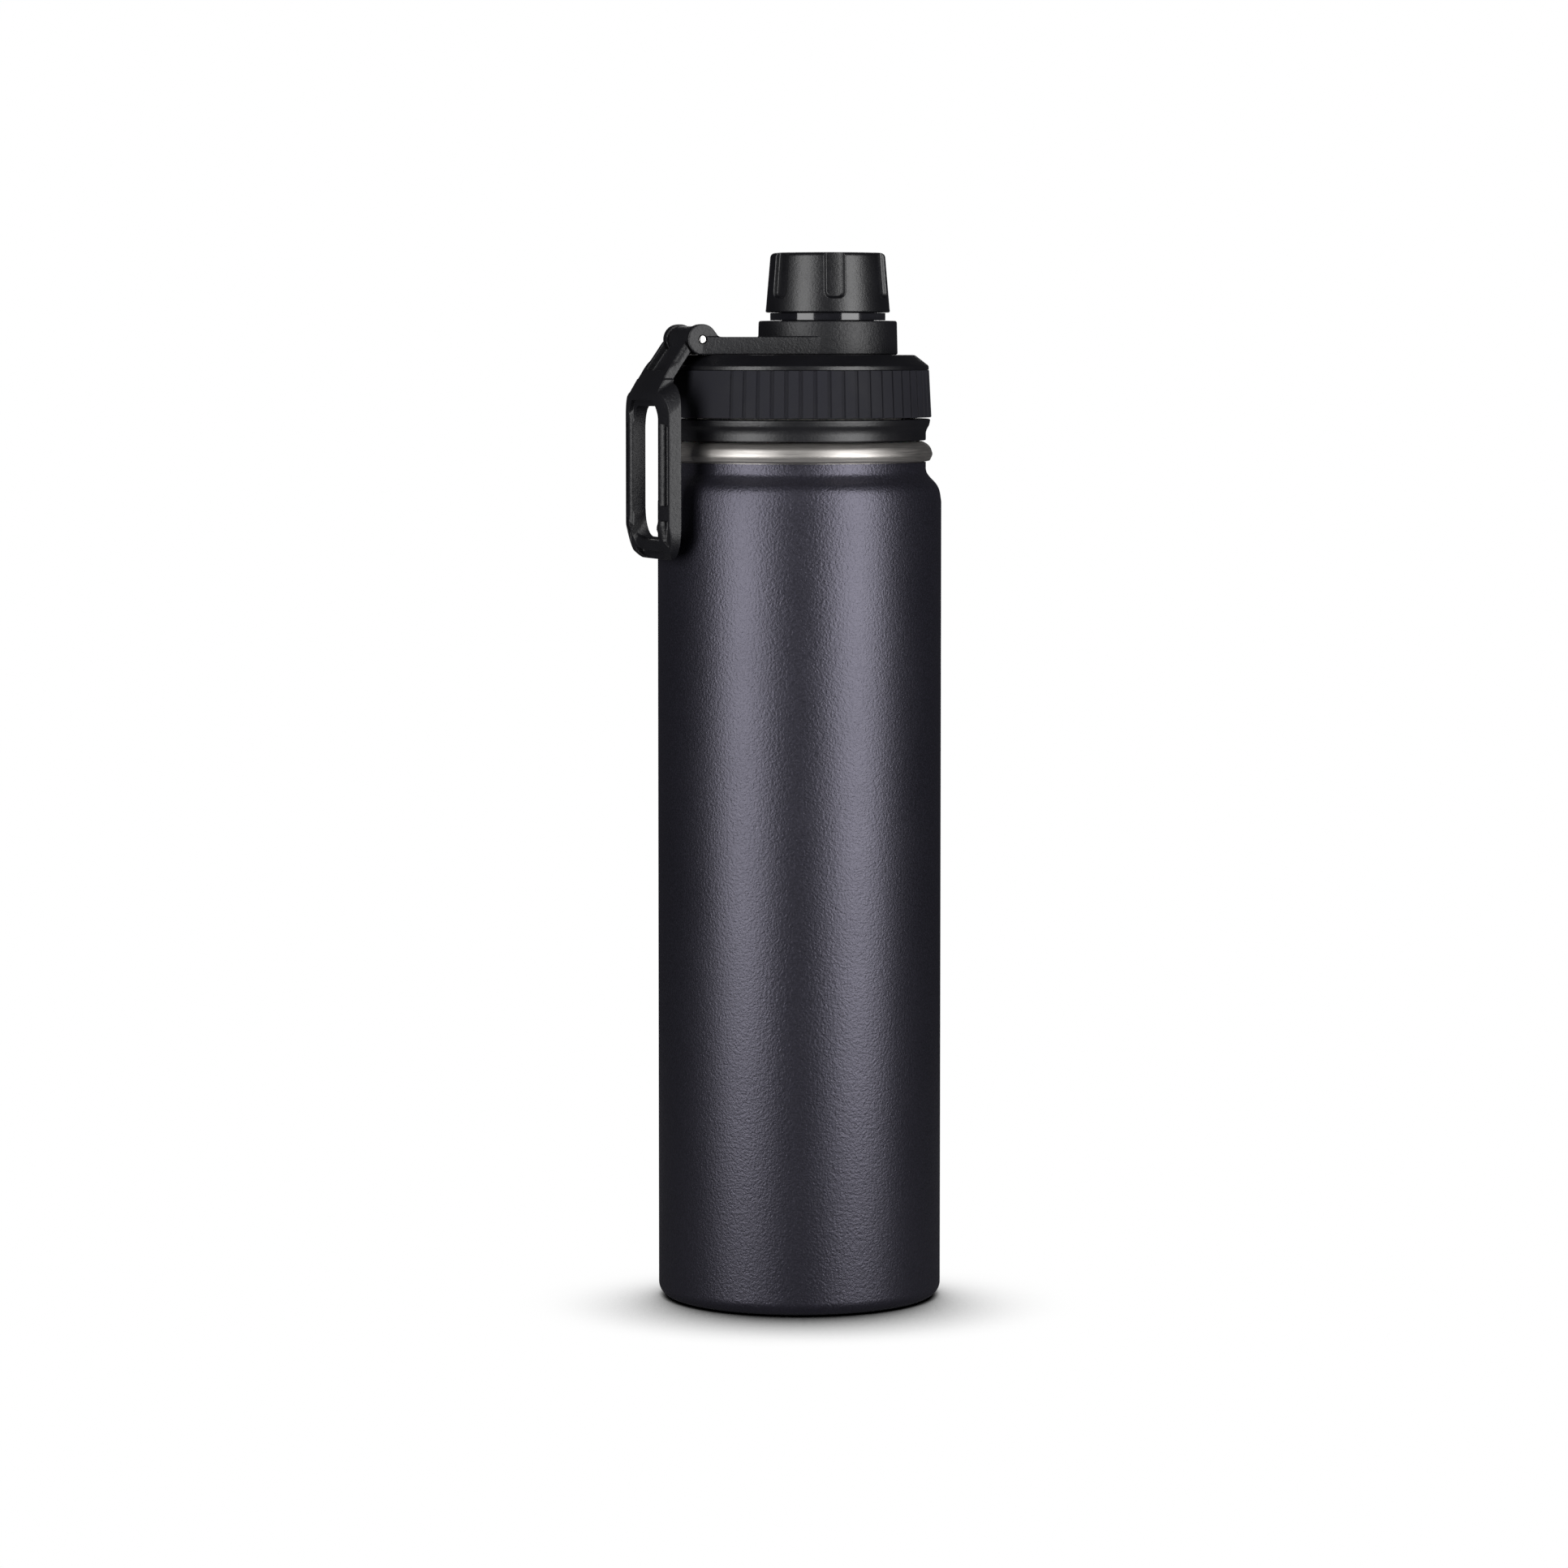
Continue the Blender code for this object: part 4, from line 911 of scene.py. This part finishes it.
def window_bead():
    """Round bead down both sides of the window and along the ridge at its foot."""
    middle = WINDOW_HALF + BEAD
    front = HANDLE_FRONT + BEAD
    half = [(front + 0.9 * MM, middle - 0.2 * MM, 231.5 * MM), (front, middle, 228.0 * MM)]
    half += [(front, middle, 214.0 * MM), (front, middle, FOOT_BEND + 0.5 * MM)]
    half += [(front + 0.9 * MM, middle - 0.35 * MM, 197.4 * MM)]
    half += [(front + 1.8 * MM, 9.9 * MM, 195.8 * MM), (front + 2.3 * MM, 6.4 * MM, 195.0 * MM)]
    path = [Vector(spot) for spot in half] + [Vector((front + 2.4 * MM, 0.0, 194.9 * MM))]
    path += [Vector((x, -y, z)) for x, y, z in reversed(half)]
    bm = bmesh.new()
    rings = []
    for index, spot in enumerate(path):
        ahead = (path[min(index + 1, len(path) - 1)] - path[max(index - 1, 0)]).normalized()
        side = ahead.cross(Vector((1.0, 0.0, 0.0))).normalized()
        front_way = side.cross(ahead)
        ring = []
        for step in range(BEAD_SIDES):
            turn = 2.0 * math.pi * step / BEAD_SIDES
            ring.append(bm.verts.new(spot + (side * math.cos(turn) + front_way * math.sin(turn)) * BEAD))
        rings.append(ring)
    for ring, following in zip(rings, rings[1:]):
        for step in range(BEAD_SIDES):
            after = (step + 1) % BEAD_SIDES
            bm.faces.new((ring[step], ring[after], following[after], following[step]))
    bm.faces.new(rings[0])
    bm.faces.new(rings[-1])
    return bm


def handle_cheek():
    """Keeps all but the front of the two shoulders, which slope back from the outward face."""
    neck = EAR_OUTER_Y + 0.8 * MM
    loop = HANDLE_HALF + 0.1 * MM
    shoulder = 233.6 * MM
    corners = [(neck, 275.0 * MM, 0.0), (neck, shoulder, 1.0 * MM)]
    corners += [(loop, shoulder, 6.4 * MM), (loop, 150.0 * MM, 0.0)]
    bm = prism(rounded(mirrored(corners), 12), "X", -20.0 * MM, 20.0 * MM)
    return slanted(bm, 0.5, HANDLE_FRONT)


def pocket_cutters():
    """Shallow pockets in the outward face: one down each leg, one in each corner, one across the foot."""
    cutters = []
    floor = HANDLE_FRONT + POCKET_DEPTH
    leg_low = 205.2 * MM
    corner_top = 201.6 * MM
    centre = (HANDLE_HALF - HANDLE_CORNER, CORNER_Z)
    outer = HANDLE_CORNER - (HANDLE_HALF - POCKET_OUTER)
    inner = HANDLE_CORNER - (HANDLE_HALF - POCKET_INNER)
    for side in (-1.0, 1.0):
        leg = rounded([(POCKET_INNER, 226.6 * MM, 1.3 * MM), (POCKET_OUTER, 225.4 * MM, 1.2 * MM),
                       (POCKET_OUTER, leg_low, 1.3 * MM), (POCKET_INNER, leg_low, 1.3 * MM)], 6)
        corner = [(POCKET_OUTER, corner_top)] + arc(centre, outer, 0, -40, 8)
        corner += arc(centre, inner, -42, 0, 8) + [(POCKET_INNER, corner_top)]
        for outline in (leg, corner):
            cutters.append(prism([(side * a, b) for a, b in outline], "X", -FAR, floor))
    foot = curved([(10.6 * MM, 193.0 * MM), (7.2 * MM, 191.95 * MM), (0.0, 191.55 * MM)], 5)
    foot += [(-a, b) for a, b in reversed(foot[:-1])]
    upper = curved([(-10.3 * MM, 194.7 * MM), (-6.5 * MM, 193.9 * MM), (0.0, 193.6 * MM)], 5)
    foot += upper + [(-a, b) for a, b in reversed(upper[:-1])]
    cutters.append(prism(foot, "X", -FAR, FOOT_POCKET_FLOOR))
    return cutters


def neck_rounding():
    """Bars that round the neck's outer edges when cut away; each side's last one climbs out of it."""
    bars = []
    centre = (EAR_OUTER_Y - STRUT_ROUND, STRUT_HEIGHT - STRUT_ROUND)
    outer = EAR_OUTER_Y + 3.0 * MM
    above = 8.0 * MM
    straight_end = -9.0 * MM
    for side in (-1.0, 1.0):
        outline = arc(centre, STRUT_ROUND, 0, 90, 8) + [(EAR_OUTER_Y - STRUT_ROUND, above)]
        outline += [(outer, above), (outer, STRUT_HEIGHT - STRUT_ROUND)]
        outline = [(side * a, b) for a, b in outline]
        bars.append(prism(outline, "X", straight_end, 3.0 * MM))
        bars.append(slanted(prism(outline, "X", -4.0 * MM, 0.0), -0.5, straight_end))
    return bars


def make_carry_handle(black):
    """Barrel, sloping neck with two raised struts, and a crowned loop with a finger window."""
    handle = new_object("carry_handle_moulded", prism(handle_side_outline(), "Y", -20.0 * MM, 20.0 * MM))
    combined(handle, "INTERSECT", prism(handle_front_outline(), "X", -FAR, -20.0 * MM))
    combined(handle, "INTERSECT", handle_cheek())
    cut(handle, prism(window_outline(), "X", -FAR, -20.0 * MM))
    cut(handle, prism(window_outline(BEAD), "X", -FAR, HANDLE_FRONT + BEAD))
    cut(handle, window_flare())
    for cutter in pocket_cutters():
        cut(handle, cutter)
    join(handle, window_bead())
    # the neck's cutters are drawn flat, then laid on the slope through the hinge
    slope = math.atan2(SLOPE_TOP[1] - SLOPE_LOW_Z, SLOPE_TOP[0] - HANDLE_FRONT)
    along = Matrix(((math.cos(slope), 0.0, -math.sin(slope), HINGE_X),
                    (0.0, 1.0, 0.0, 0.0),
                    (math.sin(slope), 0.0, math.cos(slope), HINGE_Z),
                    (0.0, 0.0, 0.0, 1.0)))
    floor = [(-RECESS_LENGTH, -RECESS_HALF), (0.6 * MM, -RECESS_HALF), (0.6 * MM, RECESS_HALF)]
    floor += [(-RECESS_LENGTH, RECESS_HALF)]
    recess = prism(floor, "Z", RECESS_HEIGHT, 8.0 * MM)
    for cutter in [recess] + neck_rounding():
        cutter.transform(along)
        cut(handle, cutter)
    barrel_end = BARREL_HALF + 0.5 * MM
    beyond = 22.0 * MM
    join(handle, cross_rod(BARREL_RADIUS, -barrel_end, barrel_end, SMALL_STEPS))
    for side in (-1.0, 1.0):
        low, high = sorted((side * BARREL_HALF, side * beyond))
        cut(handle, cross_rod(EAR_CLEARANCE, low, high, SMALL_STEPS))
    cut(handle, cross_rod(PIN_HOLE, -beyond, beyond, HINGE_BORE_STEPS))
    melted(handle)
    # the crown: the outward face curves back towards both sides, the back stays flat
    for vertex in handle.data.vertices:
        spot = vertex.co
        share = min(1.0, max(0.0, (HANDLE_BACK - spot.x) / (HANDLE_BACK - HANDLE_FRONT)))
        spot.x += share * spot.y * spot.y / (2.0 * HANDLE_CROWN)
    finished(handle, "carry_handle", black, "handle", sharp=0.0)


def cap_radius(height):
    """Outside radius of the cap's tapered side at a height."""
    share = (height - CAP_LOW) / (CAP_TOP - CAP_LOW)
    return CAP_LOW_RADIUS + (CAP_TOP_RADIUS - CAP_LOW_RADIUS) * share


def groove_limit(degrees, height):
    """Largest radius left at a place on the cap by its grooves; 1.0 is no limit."""
    pitch = 360.0 / CAP_GROOVES
    offset = (degrees - CAP_GROOVE_PHASE + pitch / 2.0) % pitch - pitch / 2.0
    side = cap_radius(height)
    across = abs(math.radians(offset)) * side - (CAP_GROOVE_HALF - CAP_GROOVE_CORNER)
    below = CAP_GROOVE_LOW + CAP_GROOVE_CORNER - height
    edge = math.hypot(max(across, 0.0), max(below, 0.0)) + min(0.0, max(across, below)) - CAP_GROOVE_CORNER
    share = min(1.0, max(0.0, 0.1 - edge / CAP_GROOVE_WALL))
    if share == 0.0:
        return 1.0
    return side - CAP_GROOVE_DEPTH * share * share * (3.0 - 2.0 * share)


def make_spout_cap(black):
    """Tapered cap with six grooves that are round below and open at the top."""
    inner_top = CAP_TOP - 1.5 * MM
    edge = 0.45 * MM
    profile = [(CAP_BORE, CAP_LOW), (CAP_BORE + 1.0 * MM, CAP_LOW)]
    profile += arc((CAP_LOW_RADIUS - edge, CAP_LOW + edge), edge, -90, 6, 5)
    rows = 84 if FINE else 40
    side_low = CAP_LOW + 2.0 * edge
    side_high = CAP_TOP - CAP_CORNER
    for row in range(rows + 1):
        height = side_low + (side_high - side_low) * row / rows
        profile.append((cap_radius(height), height))
    corner = (cap_radius(side_high) - CAP_CORNER, side_high)
    profile += arc(corner, CAP_CORNER, 8, 90, 9)
    profile += [(11.8 * MM, CAP_TOP), (6.0 * MM, CAP_TOP), (0.0, CAP_TOP)]
    profile += [(0.0, inner_top), (CAP_BORE, inner_top)]
    steps = 780 if FINE else 240
    columns = [360.0 * index / steps for index in range(steps)]
    angles = [math.radians(degrees) for degrees in columns]

    def kept(index, radius, height):
        outside = radius > CAP_BORE + 0.1 * MM
        return min(radius, groove_limit(columns[index], height)) if outside else radius

    cap = new_object("spout_cap_grooved", carved(profile, angles, kept, SPOUT_X))
    finished(cap, "spout_cap", black, "cap", sharp=62.0)


def make_spout_cap_insert(plastic):
    low = low_z("spout_cap_insert")
    top = high_z("spout_cap_insert")
    under = top - 0.8 * MM
    profile = [(INSERT_BORE, low + 0.2 * MM), (INSERT_BORE + 0.2 * MM, low), (INSERT_RADIUS, low)]
    profile += [(INSERT_RADIUS, top), (0.0, top), (0.0, under), (INSERT_BORE, under)]
    insert = new_object("spout_cap_insert_threaded", turned(profile, SMALL_STEPS, SPOUT_X))
    join(insert, thread(INSERT_BORE, -1.0, 255.4 * MM, CAP_THREAD, SPOUT_X))
    finished(insert, "spout_cap_insert", plastic, "cap")


def make_spout_cap_gasket(rubber):
    low = low_z("spout_cap_gasket")
    top = high_z("spout_cap_gasket")
    radius = INSERT_BORE - GAP
    corners = [(radius, low, 0.3 * MM), (radius, top, 0.3 * MM), (0.0, top, 0.0), (0.0, low, 0.0)]
    gasket = new_object("spout_cap_gasket_disc", turned(rounded(corners, 4), SMALL_STEPS, SPOUT_X))
    finished(gasket, "spout_cap_gasket", rubber, "cap_seal")


def paint_hidden_nodes(steel, plain_foam, glass, getter, rubber):
    """CAD nodes inside the walls and the lid keep their shapes and get their finishes."""
    finishes = {"outer_base": steel, "getter_clip": steel, "lid_insulation": plain_foam,
                "vacuum_seal_plug": glass, "getter": getter, "spout_seal_ring": rubber}
    for node, material in finishes.items():
        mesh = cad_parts[node].data
        mesh.materials.clear()
        mesh.materials.append(material)


# ---- studio

CAMERA_AZIMUTH = math.radians(-20.0)  # the handle is turned this far towards the camera
BACK = Vector((math.sin(CAMERA_AZIMUTH), -math.cos(CAMERA_AZIMUTH), 0.0))  # towards the camera
RIGHT = Vector((-BACK.y, BACK.x, 0.0))
CAMERA_DISTANCE = 1.415
CAMERA_HEIGHT = 0.2459
AIM_HEIGHT = 0.1328
AIM_ASIDE = -0.0040  # the bottle's axis stands right of the picture's middle
SHIFT_Y = -0.03
LIGHT_DISTANCE = 1.15
FLOOR_RADIUS = 0.45
SHADOW_SIDE = tuple(Vector((0.0, 0.0, 1.0)) - BACK * 0.8)  # the soft shadow falls towards the camera


def make_camera():
    """Long lens at the lid's height, tilted down to the bottle's middle, with a slight vertical shift."""
    data = bpy.data.cameras.new("camera")
    data.sensor_width = 36.0
    data.lens = 126.1
    data.shift_y = SHIFT_Y
    data.clip_start = 0.05
    data.clip_end = 50.0
    camera = bpy.data.objects.new("camera", data)
    bpy.context.scene.collection.objects.link(camera)
    camera.location = BACK * CAMERA_DISTANCE + RIGHT * AIM_ASIDE + Vector((0.0, 0.0, CAMERA_HEIGHT))
    drop = (CAMERA_HEIGHT - AIM_HEIGHT) / CAMERA_DISTANCE - (-SHIFT_Y) * data.sensor_width / data.lens
    aim = -BACK + Vector((0.0, 0.0, -drop))
    camera.rotation_euler = aim.to_track_quat("-Z", "Y").to_euler()
    bpy.context.scene.camera = camera


def softbox(name, azimuth, low, high, width, power):
    """Upright area light facing the bottle; azimuth in degrees from the camera, positive to the right."""
    turn = math.radians(azimuth)
    outward = BACK * math.cos(turn) + RIGHT * math.sin(turn)
    data = bpy.data.lights.new(name, "AREA")
    data.shape = "RECTANGLE"
    data.size = width
    data.size_y = high - low
    data.energy = power
    light = bpy.data.objects.new(name, data)
    bpy.context.scene.collection.objects.link(light)
    light.location = outward * LIGHT_DISTANCE + Vector((0.0, 0.0, (low + high) / 2.0))
    light.rotation_euler = (-outward).to_track_quat("-Z", "Y").to_euler()
    light.visible_camera = False


def seen_by_camera(tree, seen, other, surface):
    """Show one shader to the camera and another to all other rays."""
    path = tree.nodes.new("ShaderNodeLightPath")
    mix = tree.nodes.new("ShaderNodeMixShader")
    tree.links.new(path.outputs["Is Camera Ray"], mix.inputs["Fac"])
    tree.links.new(other.outputs[0], mix.inputs[1])
    tree.links.new(seen.outputs[0], mix.inputs[2])
    tree.links.new(mix.outputs[0], surface)


def make_floor():
    """Disc that the camera sees as white with a soft contact shadow; other rays see it as dim grey."""
    bm = bmesh.new()
    bmesh.ops.create_circle(bm, cap_ends=True, radius=FLOOR_RADIUS, segments=96)
    bmesh.ops.translate(bm, verts=bm.verts, vec=(0.0, 0.0, -0.00005))
    floor = new_object("floor", bm)
    material = bpy.data.materials.new("floor_white")
    material.use_nodes = True
    nodes, links = material.node_tree.nodes, material.node_tree.links
    dim = nodes["Principled BSDF"]
    dim.inputs["Base Color"].default_value = (0.14, 0.14, 0.15, 1.0)
    dim.inputs["Roughness"].default_value = 0.9
    lean = nodes.new("ShaderNodeCombineXYZ")
    for socket, value in zip(lean.inputs, SHADOW_SIDE):
        socket.default_value = value
    shade = nodes.new("ShaderNodeAmbientOcclusion")
    shade.samples = 24
    shade.inputs["Distance"].default_value = 0.045
    links.new(lean.outputs[0], shade.inputs["Normal"])
    depth = nodes.new("ShaderNodeMapRange")
    depth.interpolation_type = "SMOOTHSTEP"
    depth.inputs["From Min"].default_value = 0.30
    depth.inputs["From Max"].default_value = 0.95
    links.new(shade.outputs["AO"], depth.inputs["Value"])
    white = nodes.new("ShaderNodeEmission")
    links.new(depth.outputs["Result"], white.inputs["Strength"])
    seen_by_camera(material.node_tree, white, dim, nodes["Material Output"].inputs["Surface"])
    floor.data.materials.append(material)


def make_world():
    """White behind the bottle for the camera, dim everywhere else."""
    world = bpy.data.worlds.new("studio")
    bpy.context.scene.world = world
    world.use_nodes = True
    nodes = world.node_tree.nodes
    background = nodes["Background"]
    white = nodes.new("ShaderNodeBackground")
    white.inputs["Color"].default_value = (1.0, 1.0, 1.0, 1.0)
    background.inputs["Color"].default_value = (0.024, 0.024, 0.027, 1.0)
    seen_by_camera(world.node_tree, white, background, nodes["World Output"].inputs["Surface"])


def make_studio():
    make_camera()
    make_world()
    make_floor()
    softbox("softbox_left", -46.0, -0.52, 1.25, 0.72, 17.6)
    softbox("softbox_right", 46.0, -0.52, 1.25, 0.76, 20.6)
    softbox("softbox_back", 180.0, -0.10, 0.90, 0.30, 1.6)
    scene = bpy.context.scene
    scene.view_settings.view_transform = "Standard"
    scene.view_settings.look = "None"


# ---- everything

def main():
    coat = powder_coat()
    steel = turned_steel()
    pin = pin_steel()
    black = moulded("satin_black", (0.0035, 0.0035, 0.0048), 0.36, 1900.0, 0.00006, shine=0.6)
    grained = moulded("grained_black", (0.0045, 0.0045, 0.0062), 0.46, 1500.0, 0.00013, shine=0.50)
    gloss = gloss_black()
    rubber = band_rubber()
    plastic = moulded("inner_plastic", (0.020, 0.020, 0.022), 0.42, 1800.0, 0.000015)
    seal = silicone()
    make_outer_shell(coat)
    make_base_cover(coat)
    make_inner_base(steel)
    make_inner_shell(steel)
    make_lid_base_ring(black)
    make_grip_band(rubber)
    make_lid_cover(black)
    make_lid_core(plastic)
    make_lid_bottom_plate(plastic)
    make_lid_gasket(seal)
    make_spout(plastic)
    make_collar_retainer(gloss)
    make_swivel_arm(grained)
    make_hinge_pin(pin)
    make_carry_handle(grained)
    make_spout_cap(black)
    make_spout_cap_insert(plastic)
    make_spout_cap_gasket(seal)
    paint_hidden_nodes(steel, foam(), solder_glass(), getter_metal(), seal)
    make_studio()


main()
bpy.context.view_layer.update()
